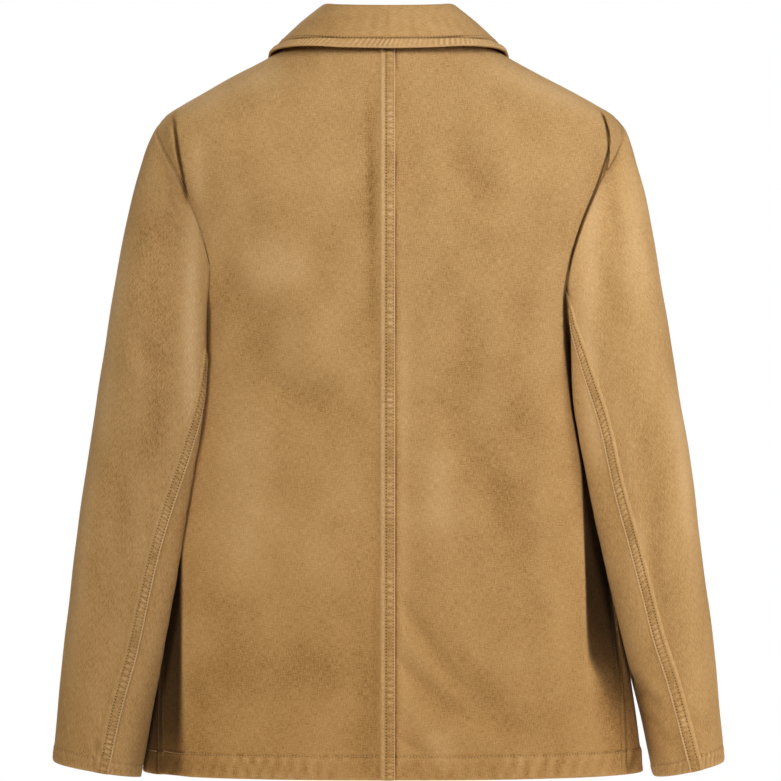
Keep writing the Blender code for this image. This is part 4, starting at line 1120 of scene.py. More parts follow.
def sleeve_relief(form, angle, t, point):
    x = point[..., 0]
    z = point[..., 2]
    facing = np.sin(np.radians(angle))
    behind = ease(0.5 + facing / 0.5)
    head = t * SLEEVE_LENGTH
    relief = crease_field(SLEEVE_CREASES[form.side], x, z) * behind * ease(head / 10.0)
    relief += crease_field(SLEEVE_FRONT_CREASES[form.side], x, z) * (1.0 - behind)
    uneven = swell(x + SWELL_SHIFT * facing, z, form.side)
    relief += SWELL * SLEEVE_SWELL * uneven * ease(head / 25.0)
    turn = turn_of(angle)
    puff = head_puffs[form.side](turn)
    puff = np.where(facing > 0.0, puff, puff * FRONT_PUFF)
    relief += puff * ease(head / 4.0) * (1.0 - fade_in(head, 6.0, 40.0))
    proud = over_panel(turn, form.side)
    relief += SLEEVE_LIP * proud * bell((head - LIP_PLACE) / 2.0)
    relief -= ARM_DIP * bell(head / ARM_DIP_WIDTH) * fade_out(turn, 150.0, 30.0) * (1.0 - proud)
    above = (1.0 - t) * SLEEVE_LENGTH
    relief += turned_hem(angle * CUFF_RUN, above, CUFF_PITCH, form.side) * CUFF_SHARE
    return relief


def sleeve_surface(form, angle, t):
    angle, t = np.broadcast_arrays(angle, t)
    point = form.point(angle, t)
    relief = sleeve_relief(form, angle, t, point)
    tuck = (1.0 - ease(t * SLEEVE_LENGTH / TUCK_LENGTH))[..., None]
    off = unit(form.away(angle))
    under = form.loop(angle)[1]
    point = point - tuck * (TUCK_IN * off + TUCK_DOWN * under)
    point = point + form.normal(angle, t) * relief[..., None]
    drop = fold_fall(point[..., 0], point[..., 2], form.side)[1]
    point[..., 1] -= drop * near_crevice(t * SLEEVE_LENGTH) * faces_back(angle)
    return point


# ---------------------------------------------------------------- meshes
INNER_DARKER = -0.25  # all inner faces are coloured a little darker
SHARP_ANGLE = 48.0  # edges that bend more than this look sharp
ARC_STEPS = 24  # a section's arc is measured in so many chords


def grid_normals(points, outward):
    """Normals of a grid of points, turned towards one side by a set of directions."""
    across = np.gradient(points, axis=1)
    down = np.gradient(points, axis=0)
    normal = unit(np.cross(across, down))
    if float(dot(normal, outward).mean()) < 0.0:
        normal = -normal
    return normal


def flat_places(points):
    """Places of a grid's points on the flat cloth: run across and run down."""
    across = np.cumsum(length_of(np.diff(points, axis=1, prepend=points[:, :1])), axis=1)
    down = np.cumsum(length_of(np.diff(points, axis=0, prepend=points[:1])), axis=0)
    return np.stack((across, down), axis=-1)


def added(name, data):
    """A new object of the scene."""
    thing = bpy.data.objects.new(name, data)
    bpy.context.scene.collection.objects.link(thing)
    return thing


def mesh_of(name, vertices, quads, places=None, shades=None):
    """One mesh from points in millimetres and quads, with cloth places and shades."""
    mesh = bpy.data.meshes.new(name)
    mesh.vertices.add(len(vertices))
    mesh.vertices.foreach_set("co", (vertices * MM).astype(np.float32).ravel())
    mesh.loops.add(quads.size)
    mesh.loops.foreach_set("vertex_index", quads.astype(np.int32).ravel())
    mesh.polygons.add(len(quads))
    mesh.polygons.foreach_set("loop_start", np.arange(0, quads.size, 4, dtype=np.int32))
    mesh.update(calc_edges=True)
    mesh.validate()
    if places is not None:
        layer = mesh.uv_layers.new(name="cloth")
        layer.data.foreach_set("uv", places[quads.ravel()].astype(np.float32).ravel())
    if shades is not None:
        shade = mesh.attributes.new("wear", "FLOAT", "POINT")
        shade.data.foreach_set("value", shades.astype(np.float32))
    mesh.shade_smooth()
    mesh.set_sharp_from_angle(angle=math.radians(SHARP_ANGLE))
    return added(name, mesh)


def grid_quads(rows, columns, start, flip):
    """Quads of a grid of vertices that are numbered row by row."""
    index = np.arange(rows * columns).reshape(rows, columns) + start
    a, b = index[:-1, :-1].ravel(), index[:-1, 1:].ravel()
    c, d = index[1:, 1:].ravel(), index[1:, :-1].ravel()
    return np.stack((a, d, c, b) if flip else (a, b, c, d), axis=-1)


def body_places(angle, z, side):
    """Places of body points on the flat cloth: run round from the centre, and height."""
    run = np.zeros(angle.shape)
    before = body_plain(0.0 * angle, z, side)
    for k in range(1, ARC_STEPS + 1):
        here = body_plain(angle * k / ARC_STEPS, z, side)
        run += length_of(here - before)
        before = here
    return np.stack((side * run, z), axis=-1)


def shell(name, outer, normals, thickness, shades=None, places=None):
    """Close a grid of outer points into one thin shell."""
    rows, columns = outer.shape[:2]
    inner = outer - normals * thickness
    vertices = np.concatenate((outer.reshape(-1, 3), inner.reshape(-1, 3)))
    count = rows * columns
    index = np.arange(count).reshape(rows, columns)
    rim = np.concatenate((index[0, :-1], index[:-1, -1], index[-1, :0:-1], index[:0:-1, 0]))
    ahead = np.roll(rim, -1)
    wall = np.stack((rim, rim + count, ahead + count, ahead), axis=-1)
    quads = np.concatenate((grid_quads(rows, columns, 0, False),
                            grid_quads(rows, columns, count, True), wall))
    flat = (flat_places(outer) if places is None else places).reshape(-1, 2)
    shade = np.zeros((rows, columns)) if shades is None else shades
    both = np.concatenate((shade.ravel(), np.full(count, INNER_DARKER)))
    thing = mesh_of(name, vertices, quads, np.concatenate((flat, flat)), both)
    volume = signed_volume(vertices, quads)
    if volume < 0.0:
        thing.data.flip_normals()
    return thing


def signed_volume(vertices, quads):
    a, b, c, d = (vertices[quads[:, k]] for k in range(4))
    return float((dot(a, np.cross(b, c)) + dot(a, np.cross(c, d))).sum()) / 6.0


def steps(*runs):
    """Join evenly spaced runs given as (start, end, count) into one list of shares."""
    parts = [np.linspace(a, b, n, endpoint=False) for a, b, n in runs]
    return np.concatenate(parts + [np.array([runs[-1][1]])])


# ---------------------------------------------------------------- backs and fronts
TOP_FADE = 4.0  # how fast the top border's shape dies out down the grid
ARM_SHARE = 0.36  # share of the grid's rows that lie beside the armhole
NECK_SHARE = 0.40  # share of a back's columns that end at the neck
HALF_TURN = 180.0
GAP_START = 165.0  # from this turn of the armhole the side seam's gap opens
PANEL_V = steps((0.0, 0.02, 5), (0.02, ARM_SHARE, 92), (ARM_SHARE, 0.955, 112),
                (0.955, 1.0, 26))
BACK_U = steps((0.0, 0.05, 10), (0.05, 0.62, 24), (0.62, 0.80, 38), (0.80, 0.95, 34),
               (0.95, 1.0, 12))
FRONT_U = steps((0.0, 0.06, 10), (0.06, 0.9, 50), (0.9, 1.0, 10))
UNDER_BAND = 2.5  # the left back runs on this far under the band, and the right one


def coons(left, right, top, bottom, u, v):
    """Blend four border lines, each a function of 0..1 giving (angle, height)."""
    u = u[None, :, None]
    sides = (1.0 - u) * left[:, None] + u * right[:, None]
    top_bend = top[None] - (1.0 - u) * top[0] - u * top[-1]
    bottom_bend = bottom[None] - (1.0 - u) * bottom[0] - u * bottom[-1]
    fade = ((1.0 - v) ** TOP_FADE)[:, None, None]
    return sides + fade * top_bend + v[:, None, None] * bottom_bend


def pair(angle, z):
    angle, z = np.broadcast_arrays(angle, z)
    return np.stack((angle, z), axis=-1).astype(float)


def side_border(v, arm_table, gap_sign):
    """Outer border of a panel: down the armhole, then down the side seam."""
    turn = HALF_TURN * v / ARM_SHARE
    arm_z = armhole_height(turn)
    opening = ease((turn - GAP_START) / (HALF_TURN - GAP_START))
    arm = arm_table(turn) + gap_sign * np.degrees(HALF_GAP / body_back(arm_z)) * opening
    low_z = mix(UNDERARM_Z, HEM_Z, (v - ARM_SHARE) / (1.0 - ARM_SHARE))
    low = side_seam(low_z) + gap_sign * np.degrees(HALF_GAP / body_back(low_z))
    at_arm = v <= ARM_SHARE
    return pair(np.where(at_arm, arm, low), np.where(at_arm, arm_z, low_z))


def back_places(side):
    """Angles and heights of a half back's grid."""
    u, v = BACK_U, PANEL_V
    seam_angle = SHOULDER_ANGLE - math.degrees(HALF_GAP / float(body_back(SHOULDER_MIDDLE_Z)))
    share = u / NECK_SHARE
    along = (u - NECK_SHARE) / (1.0 - NECK_SHARE)
    top = pair(np.where(share <= 1.0, np.minimum(SHOULDER_ANGLE * share, seam_angle),
                        seam_angle),
               np.where(share <= 1.0, neckline(share), mix(0.0, SHOULDER_Z, along)))
    left = pair(0.0, mix(NECK_BACK_Z, HEM_Z, v))
    seam_side = float(side_seam(HEM_Z)) - math.degrees(HALF_GAP / float(body_back(HEM_Z)))
    bottom = pair(seam_side * u, HEM_Z)
    right = side_border(v, armhole_back, -1.0)
    right[:, 0] = np.minimum(right[:, 0], seam_angle)
    grid = coons(left, right, top, bottom, u, v)
    angle, z = grid[..., 0], grid[..., 1]
    start = back_angle_at(UNDER_BAND * side, z, side) if side > 0 else 0.0
    return angle + start * (1.0 - u)[None, :], z


ROLL_SHARE = 0.42  # share of a front's rows that lie beside the roll line
ROLL_EASE = 1.6


def front_places(side):
    """Angles and heights of a front's grid."""
    u, v = FRONT_U, PANEL_V
    seam_angle = SHOULDER_ANGLE + math.degrees(
        HALF_GAP / float(body_front(SHOULDER_MIDDLE_Z)))
    high_z = BREAK_Z * np.minimum(v / ROLL_SHARE, 1.0) ** ROLL_EASE
    high = np.maximum(front_angle_at(side * front_edge_x(high_z), high_z, side), seam_angle)
    low_z = mix(BREAK_Z, HEM_Z, (v - ROLL_SHARE) / (1.0 - ROLL_SHARE))
    low = front_angle_at(-side * OVERLAP, low_z, side)
    at_roll = v <= ROLL_SHARE
    left = pair(np.where(at_roll, high, low), np.where(at_roll, high_z, low_z))
    top = pair(seam_angle, mix(0.0, SHOULDER_Z, u))
    seam_side = float(side_seam(HEM_Z)) + math.degrees(HALF_GAP / float(body_back(HEM_Z)))
    edge_hem = float(front_angle_at(-side * OVERLAP, HEM_Z, side))
    bottom = pair(mix(edge_hem, seam_side, u), HEM_Z)
    right = side_border(v, armhole_front, 1.0)
    upper = v < 0.5 * ARM_SHARE
    right[:, 0] = np.where(upper, np.maximum(right[:, 0], seam_angle), right[:, 0])
    grid = coons(left, right, top, bottom, u, v)
    return grid[..., 0], grid[..., 1]


FOLD_PAINTED_SHADING = 0.07  # painted shading: troughs come out this much darker and ridges paler for each millimetre of a fold
RUB_REACH = 4  # grid points to each side over which relief is evened out
RUB_GAIN = 0.9


def rubbed(relief):
    """Wear and painted shading from relief: crests of a grid come out pale, as rubbed and lit, and
    its grooves deep, as in shade.
    """
    soft = relief
    for axis in (0, 1):
        total = np.zeros(relief.shape)
        for step in range(-RUB_REACH, RUB_REACH + 1):
            at = np.clip(np.arange(relief.shape[axis]) + step, 0, relief.shape[axis] - 1)
            total += np.take(soft, at, axis=axis)
        soft = total / (2 * RUB_REACH + 1)
    return np.clip(RUB_GAIN * (relief - soft), -1.0, 1.0)


RECESS_PAINTED_SHADE = 2.6  # painted shade in the hollow behind a drape fold
SIDE_PAINTED_SHADE_REACH = 26.0  # and how far it reaches over the front beside it
# Painted shade on the front beside its side seam, where it lies in that hollow: left and right.
SIDE_PAINTED_SHADE = (
    # z, left, right
    (-440,   0,   0),
    (-540, 2.8, 1.5),
    (-640, 3.4, 1.2),
    (-690, 2.9, 0.8),
    (-730, 1.9, 0.6),
    (-760,   1, 0.5),
)
side_painted_shades = side_tables(SIDE_PAINTED_SHADE)


def back_piece(side):
    """One half back, with the wear of its edges and painted light and shade on its folds, seams and
    hollows.
    """
    angle, z = back_places(side)
    points = back_surface(angle, z, side)
    x = points[..., 0]
    normals = grid_normals(points, flat_out(points))
    gap = arc_to_border(armhole_back, angle, z, side)
    turn = armhole_turn(z)
    covered = over_panel(turn, side) * (z > UNDERARM_Z)
    ridge_shading = fade_in(turn, ARMHOLE_RIDGE_SHADING_TURNS[0], 12.0) * fade_out(turn, ARMHOLE_RIDGE_SHADING_TURNS[1], 10.0)
    shades = worn_line(z - HEM_Z, *HEM_LINE) + worn_line(gap, *BACK_SEAM_LINE)
    # Painted highlight and shade of the left armhole seam, wear and painted shading of the hem,
    # painted shade in the drape fold's hollow and the folds' troughs, painted shadows of the left
    # sleeve's edge and the band's folded edge, and broad painted light and shade.
    shades += ridge_shading * (side == LEFT) * sum(worn_line(gap, *line) for line in ARMHOLE_RIDGE_SHADING_LINES)
    shades += rubbed(back_hem(x, z, side))
    shades -= RECESS_PAINTED_SHADE * fold_fall(x, z, side)[2]
    shades += FOLD_PAINTED_SHADING * back_folds(x, z)
    shades += covered * worn_line(gap, *SLEEVE_EDGE_SHADOW_LINE)
    shades += (side == RIGHT) * worn_line(x - BACK_BAND.folded, *BAND_SHADOW_LINE)
    shades += crease_field(BACK_PAINTED_SHADING, x, z)
    return shell("back_" + WORDS[side] + "_cloth", points, normals, CLOTH, shades,
                 body_places(angle, z, side))


def front_piece(side):
    """One front down to the hem, without its lapel."""
    angle, z = front_places(side)
    points = front_surface(angle, z, side)
    x = points[..., 0]
    normals = grid_normals(points, flat_out(points))
    gap = arc_to_border(armhole_front, angle, z, side)
    shades = worn_line(z - HEM_Z, *HEM_LINE) + worn_line(gap, *FRONT_SEAM_LINE)
    # Wear and painted shading of the hem's puckers and the folds, and painted shade beside the side
    # seam, where the front lies in the hollow by the sleeve.
    shades += rubbed(front_hem(x, z, side))
    shades += FOLD_PAINTED_SHADING * crease_field(FRONT_CREASES, x, z)
    near = 1.0 - fade_in(gap, 8.0, SIDE_PAINTED_SHADE_REACH)
    shades -= side_painted_shades[side](z) * near * (z < UNDERARM_Z)
    return shell("front_" + WORDS[side] + "_cloth", points, normals, CLOTH, shades,
                 body_places(angle, z, side))


BAND_PLY = 1.0  # thickness of the bands
BAND_COUNT = 620


def band_piece():
    """The felled band down the centre back."""
    x = BACK_BAND.columns(-4.7, -4.2, -3.0, -1.8, -0.6, 0.6, 1.7, 2.4, 3.1, 4.2, 5.4, 6.4,
                          7.3, 8.0)
    z = np.linspace(NECK_BACK_Z - 2.0, HEM_Z, BAND_COUNT)
    points = band_surface(x[None, :], z[:, None])
    normals = grid_normals(points, flat_out(points))
    waves = ripple(-z, BACK_BAND.pitch, BACK_BAND_SHIFT)[:, None] - RIPPLE_MEAN
    # Wear and painted shading of the band, and a painted highlight where it falls to its soft edge.
    shades = (BACK_BAND.wear(x[None, :], waves) + worn_line(x, *BAND_SLOPE_HIGHLIGHT_LINE)[None, :]
              + worn_line(z - HEM_Z, *BAND_HEM_LINE)[:, None])
    return shell("back_seam_band", points, normals, BAND_PLY, shades)


# ---------------------------------------------------------------- lapels
LAPEL_ROLL_RADIUS = 2.5
LAPEL_ROLL_CENTRE = 0.3  # middle of that bend, from the front's edge
LAPEL_TURNS = np.linspace(198.0, 95.0, 12)
LAPEL_ACROSS = steps((0.10, 0.85, 22), (0.85, 1.0, 8))
LAPEL_ROWS = 150
FORWARD = np.array((0.0, -1.0, 0.0))


def lapel_grid(side, z_roll, z_edge, turns, across):
    """Outer points and facings of a lapel: a curl round the edge, then a flat leaf."""
    x_roll = front_edge_x(z_roll)
    x_edge = lapel_edge(z_edge)
    a = np.radians(turns)[None, :]
    curl_x = x_roll[:, None] + LAPEL_ROLL_CENTRE + LAPEL_ROLL_RADIUS * np.cos(a)
    curl_z = np.broadcast_to(z_roll[:, None], curl_x.shape)
    curl_out = np.broadcast_to(LAPEL_ROLL_RADIUS * np.sin(a), curl_x.shape)
    part = across[None, :]
    leaf_x = mix(x_roll[:, None], x_edge[:, None], part)
    leaf_z = mix(z_roll[:, None], z_edge[:, None], part)
    reach = length_of(stack(x_edge - x_roll, z_edge - z_roll, 0.0))[:, None]
    inset = (1.0 - part) * reach
    relief = -GROOVE * bell((inset - EDGE_ROW) / GROOVE_WIDTH) - 0.5 * bell(inset / EDGE_CURL)
    relief = relief + 0.5 * SWELL * swell(leaf_x, leaf_z, side) + 1.2 * bell(part / 0.5)
    leaf_out = LAPEL_LIFT + LAPEL_SPRING * part + relief
    x = np.concatenate((curl_x, leaf_x), axis=1)
    z = np.concatenate((curl_z, leaf_z), axis=1)
    out = np.concatenate((curl_out, leaf_out), axis=1)
    angle = front_angle_at(side * x, z, side)
    return front_point(angle, z, side) + front_normal(angle, z, side) * out[..., None]


def lapel_piece(side):
    """One lapel, from its roll line to its outer edge."""
    foot_roll, foot_edge, head_roll, head_edge = LAPEL_ENDS[side]
    share = np.linspace(0.0, 1.0, LAPEL_ROWS)
    points = lapel_grid(side, mix(foot_roll, head_roll, share),
                        mix(foot_edge, head_edge, share), LAPEL_TURNS, LAPEL_ACROSS)
    normals = grid_normals(points, np.broadcast_to(FORWARD, points.shape))
    return shell("lapel_" + WORDS[side] + "_cloth", points, normals, CLOTH)


# ---------------------------------------------------------------- collar
COLLAR_BOW = 1.6  # the fall bows out this far
COLLAR_INSET = 1.9  # its foot lies this far below the panels' face
COLLAR_SEAT_GAP = 0.4
COLLAR_TURN_SHARE = 0.63  # share of the stand over which its facing turns
COLLAR_RUN_SHARE = 0.12  # share of the front's length that the collar's front end takes
SEAT_STEP = 0.02  # share of the collar used to find the seat's direction
NECK_CENTRE = (0.0, 0.0, 40.0)
COLLAR_STATIONS = 250  # to each side of the centre back
COLLAR_LENGTH = 262.0  # run of the collar's edge from the centre back to its end
STAND_SHARES = np.linspace(0.0, 1.0, 7)
FOLD_SHARES = np.linspace(0.0, 1.0, 8)[1:-1]
FALL_SHARES = steps((0.0, 0.62, 11), (0.62, 1.0, 13))
COLLAR_BAND = 10.5  # the collar's topstitching lies this far from its edge
COLLAR_PITCH = 5.2
COLLAR_SLANT = 0.5  # how far the roped puckers lean for each millimetre from the edge
COLLAR_ROPE = 1.9  # and their height
COLLAR_PUFF = 0.45
COLLAR_GROOVE = 1.0
COLLAR_CALM = 44.0  # the ripples above the stitching die out towards this distance
COLLAR_RIPPLES = (
    # pitch, phase, height
    (17.0, 1.1, 0.55),
    (31.0, 2.0, 0.5),
)
BAND_WEAR = 0.45  # wear of the band between the edge and the stitching
COLLAR_RUB_AND_SHADING = 1.1
FAR = 99.0  # stands for a place well away from the collar's edge


def collar_front_z(part):
    """Height on the roll line for a part of the collar's run along the front."""
    v = part * COLLAR_RUN_SHARE
    return BREAK_Z * (v / ROLL_SHARE) ** ROLL_EASE


def collar_seat(share):
    """Foot of the collar on the panels' edge: point, panel normal, direction off the edge."""
    if share <= COLLAR_SIDE_SHARE:
        def edge(s):
            part = s / COLLAR_SIDE_SHARE
            return body_plain(SHOULDER_ANGLE * part, neckline(abs(part)), LEFT)
        angle = SHOULDER_ANGLE * share / COLLAR_SIDE_SHARE
        z = neckline(share / COLLAR_SIDE_SHARE)
    else:
        def edge(s):
            part = max(s - COLLAR_SIDE_SHARE, 0.0) / (1.0 - COLLAR_SIDE_SHARE)
            height = collar_front_z(part)
            turn = max(front_angle_at(roll_line(height), height, LEFT), SHOULDER_ANGLE)
            return body_plain(turn, height, LEFT)
        z = collar_front_z((share - COLLAR_SIDE_SHARE) / (1.0 - COLLAR_SIDE_SHARE))
        angle = max(front_angle_at(roll_line(z), z, LEFT), SHOULDER_ANGLE)
    here = body_plain(angle, z, LEFT)
    run = edge(min(share + SEAT_STEP, 1.0)) - edge(share - SEAT_STEP)
    normal = body_normal(angle, z, LEFT)
    off = unit(np.cross(run, normal))
    inward = np.array(NECK_CENTRE) - here * np.array((1.0, 1.0, 0.0))
    return here, normal, -off if float(dot(off, inward)) < 0.0 else off


def tangent_point(spot, centre, radius, turn):
    """Where a line from a spot touches a circle, on the side given by the turn's sign."""
    away = spot - centre
    reach = math.hypot(away[0], away[1])
    angle = math.atan2(away[1], away[0]) + turn * math.acos(min(radius / reach, 1.0))
    return angle, centre + radius * np.array((math.cos(angle), math.sin(angle)))


collar_lines = smooth_columns(COLLAR)


def collar_profile(share, side):
    """Outer points and facings of the collar at one station, and the fall's length."""
    mirror = np.array((side, 1.0, 1.0))
    here, skin, off = collar_seat(share)
    fold = np.array([line(share) for line in collar_lines[:3]])
    edge = np.array([line(share) for line in collar_lines[3:]])
    seat = here + off * COLLAR_SEAT_GAP - skin * COLLAR_INSET
    out = unit(edge - seat)
    up = fold - seat
    up = unit(up - float(dot(up, out)) * out)
    centre = np.array((0.0, -COLLAR_FOLD_RADIUS))
    foot = np.array((float(dot(seat - fold, out)), float(dot(seat - fold, up))))
    tip = np.array((float(dot(edge - fold, out)), float(dot(edge - fold, up))))
    turn_in, touch_in = tangent_point(foot, centre, COLLAR_FOLD_RADIUS, -1.0)
    turn_out, touch_out = tangent_point(tip, centre, COLLAR_FOLD_RADIUS, 1.0)
    turn_in = turn_in % math.tau
    turn_out = (turn_out + math.pi) % math.tau - math.pi

    def lifted(spots):
        return fold + np.outer(spots[:, 0], out) + np.outer(spots[:, 1], up)

    facing_in = out * math.cos(turn_in) + up * math.sin(turn_in)
    stand = lifted(foot + np.outer(STAND_SHARES, touch_in - foot))
    blend = ease(STAND_SHARES / COLLAR_TURN_SHARE)[:, None]
    stand_facing = unit(mix(-skin, facing_in, blend))
    turns = mix(turn_in, turn_out, FOLD_SHARES)
    ring = np.stack((np.cos(turns), np.sin(turns)), axis=-1)
    bend = lifted(centre + COLLAR_FOLD_RADIUS * ring)
    bend_facing = np.outer(np.cos(turns), out) + np.outer(np.sin(turns), up)
    facing = out * math.cos(turn_out) + up * math.sin(turn_out)
    bow = COLLAR_BOW * np.sin(math.pi * FALL_SHARES)
    fall = lifted(touch_out + np.outer(FALL_SHARES, tip - touch_out)) + np.outer(bow, facing)
    fall_facing = np.broadcast_to(facing, fall.shape)
    points = np.concatenate((stand, bend, fall)) * mirror
    facings = np.concatenate((stand_facing, bend_facing, fall_facing)) * mirror
    reach = math.hypot(*(tip - touch_out))
    from_edge = np.concatenate((np.full(len(stand) + len(bend), FAR),
                                (1.0 - FALL_SHARES) * reach))
    return points, facings, from_edge


def collar_relief(run, from_edge):
    """Roped band between the collar's edge and its stitching, and soft ripples above."""
    rope = ripple(run + COLLAR_SLANT * from_edge, COLLAR_PITCH, 0.3) - RIPPLE_MEAN
    inside = ease(from_edge / 2.5) * fade_out(from_edge, COLLAR_BAND, 3.0)
    above = fade_in(from_edge, COLLAR_BAND, 3.0) * fade_out(from_edge, COLLAR_CALM, 12.0)
    soft = sum((ripple(run, pitch, phase) - RIPPLE_MEAN) * height
               for pitch, phase, height in COLLAR_RIPPLES)
    puff = COLLAR_PUFF * fade_out(from_edge, COLLAR_BAND, 2.0) * ease(from_edge / 2.0)
    return (COLLAR_ROPE * rope * inside + above * soft + puff
            - COLLAR_GROOVE * bell((from_edge - COLLAR_BAND) / 1.2)
            - 0.4 * bell(from_edge / 1.2))


def collar_plain():
    """The collar's points, facings, places from its edge and run, before any relief."""
    half = np.linspace(0.0, 1.0, COLLAR_STATIONS)
    stations = [(s, RIGHT) for s in half[:0:-1]] + [(s, LEFT) for s in half]
    rows = [collar_profile(s, side) for s, side in stations]
    points = np.array([row[0] for row in rows])
    facings = np.array([row[1] for row in rows])
    from_edge = np.array([row[2] for row in rows])
    run = np.array([s * side * COLLAR_LENGTH for s, side in stations])[:, None]
    return points, facings, from_edge, run


def collar_grid():
    points, facings, from_edge, run = collar_plain()
    return points + facings * collar_relief(run, from_edge)[..., None], facings, from_edge


def collar_piece():
    """Stand and fall in one, pale along its edge and in its roped band, with wear and painted
    shading from its relief.
    """
    points, facings, from_edge = collar_grid()
    normals = grid_normals(points, facings)
    in_band = ease(from_edge / 2.0) * fade_out(from_edge, COLLAR_BAND, 2.0)
    shades = (worn_line(from_edge, *COLLAR_EDGE_LINE) + BAND_WEAR * in_band
              + worn_line(from_edge, *COLLAR_ROW_LINE)
              + COLLAR_RUB_AND_SHADING * rubbed(dot(points - collar_plain()[0], facings)))
    return shell("collar_cloth", points, normals, COLLAR_CLOTH, shades)


# ---------------------------------------------------------------- sleeves
SLEEVE_T = steps((0.0, 0.014, 10), (0.014, 0.03, 6), (0.03, 0.28, 66), (0.28, 0.955, 116),
                 (0.955, 1.0, 24))
TOP_COLUMNS = 98
UNDER_COLUMNS = 40
SLEEVE_BAND_COUNT = 420
forms = {side: Sleeve(side) for side in WORDS}


def half_width(form, angle, t):
    z = mix(armhole_height(turn_of(angle)), CUFF_Z, t)
    return (form.outer(z) - form.inner(z)) / 2.0


LIP_HIGHLIGHT_LINE = (LIP_PLACE, 1.5, 1.5)  # painted highlight on the left sleeve's edge, where it stands proud
# The sleeve's turned edge is pale at the armhole: rubbed, and on the left much paler as a painted
# highlight.
TURNED_LINES = {LEFT: (2.6, 1.2, 1.3), RIGHT: (2.6, 1.2, 0.3)}


def sleeve_shell(side, under):
    """A sleeve's under piece or its top piece, from the armhole to the cuff."""
    form = forms[side]
    name = "sleeve_" + WORDS[side] + ("_under_cloth" if under else "_top_cloth")
    t = SLEEVE_T[:, None]
    back = form.seam_angle(t)
    front = FRONT_SLEEVE_SEAM
    gap = np.degrees(HALF_GAP / half_width(form, back, t))
    columns = UNDER_COLUMNS if under else TOP_COLUMNS
    share = np.linspace(0.0, 1.0, columns)[None, :]
    start, end = (back + gap, 360.0 + front - gap) if under else (back - gap, front + gap)
    angle = mix(start, end, share)
    points = sleeve_surface(form, angle, t)
    normals = grid_normals(points, form.normal(angle, t))
    above = (1.0 - t) * SLEEVE_LENGTH
    relief = turned_hem(angle * CUFF_RUN, above, CUFF_PITCH, side)
    x = points[..., 0]
    z = points[..., 2]
    dark = fold_fall(x, z, side)[2]
    head = t * SLEEVE_LENGTH
    behind = faces_back(angle)
    proud = over_panel(turn_of(angle), side) * behind
    folds = crease_field(SLEEVE_CREASES[side], x, z) * behind * ease(head / 10.0)
    # Painted shading of the folds and broad painted light and shade, painted highlights on the left
    # sleeve's edges, painted shade in the drape fold's valley, and wear and painted shading of the
    # cuff's puckers.
    shades = (worn_line(above, *HEM_LINE) + worn_line(head, *SLEEVE_HEAD_LINE) * (1.0 - proud)
              + FOLD_PAINTED_SHADING * folds
              + crease_field(SLEEVE_PAINTED_SHADING[side], x, z) * behind
              + proud * worn_line(head, *LIP_HIGHLIGHT_LINE) + rubbed(relief)
              + behind * worn_line(head, *TURNED_LINES[side])
              - RECESS_PAINTED_SHADE * near_crevice(head) * behind * dark)
    return shell(name, points, normals, CLOTH, np.broadcast_to(shades, angle.shape))


def sleeve_band_points(side, offset, t):
    """Places beside the felled seam: offset outward in millimetres, share down the sleeve."""
    form = forms[side]
    back = form.seam_angle(t)
    pace = length_of(form.point(back + 0.5, t) - form.point(back - 0.5, t))
    angle = back - offset / np.maximum(pace, 0.2)
    return sleeve_surface(form, angle, t), form.normal(angle, t)


def sleeve_band_height(side, offset, t):
    waves = sleeve_band_waves(side, t) - 0.5
    return SLEEVE_BAND.profile(offset) + SLEEVE_RIPPLE * waves * SLEEVE_BAND.between(offset)


def sleeve_band_waves(side, t):
    return ripple(t * SLEEVE_LENGTH, SLEEVE_BAND.pitch, SLEEVE_BAND_SHIFT + side)


BAND_START = {LEFT: 0.15, RIGHT: 0.012}  # share of the sleeve where the felled band shows


def sleeve_band(side):
    """The felled band down the back of a sleeve."""
    offset = SLEEVE_BAND.columns(-8.5, -7.6, -6.4, -5.2, -4.0, -2.8, -1.6, -0.7, 0.2, 1.4,
                                 2.6, 3.5)[None, :]
    t = np.linspace(BAND_START[side], 1.0, SLEEVE_BAND_COUNT)[:, None]
    points, facings = sleeve_band_points(side, offset, t)
    points = points + facings * sleeve_band_height(side, offset, t)[..., None]
    normals = grid_normals(points, facings)
    shades = SLEEVE_BAND.wear(offset, sleeve_band_waves(side, t) - RIPPLE_MEAN)
    return shell("sleeve_" + WORDS[side] + "_seam_band", points, normals, BAND_PLY,
                 np.broadcast_to(shades, points.shape[:2]))


# ---------------------------------------------------------------- sewing
STITCH_PITCH = 3.0
STITCH_LENGTH = 2.2
THREAD_HALF = 0.30  # half width of a stitch
THREAD_RISE = 0.30  # how far its middle stands proud
THREAD_SINK = 0.2  # and how deep its underside lies
END_SINK = 0.15  # its ends dip this far into their holes
LOOK_AHEAD = 0.8  # run over which a row's direction is found
ROW_LEAN = 0.10  # slant of the felled bands' stitches
COLLAR_LEAN = 0.12
HOLE_RISE = 0.10  # the needle holes' dark discs, painted shade, lie this far off the cloth
HOLE_FLATNESS = 0.8
HOLE_RADIUS = 0.75
SMALL_HOLE = 0.42  # in the hems
HOLE_SIDES = 6
# Ring places along a stitch and the share of its full width there.
STITCH_RINGS = (
    # along, width
    (-0.32, 0.9),
    ( 0.32, 0.9),
)


def along_line(places, run, values):
    """Values of a line of points, or of its normals, at places of its run."""
    return np.stack([np.interp(places, run, values[:, k]) for k in range(3)], axis=-1)


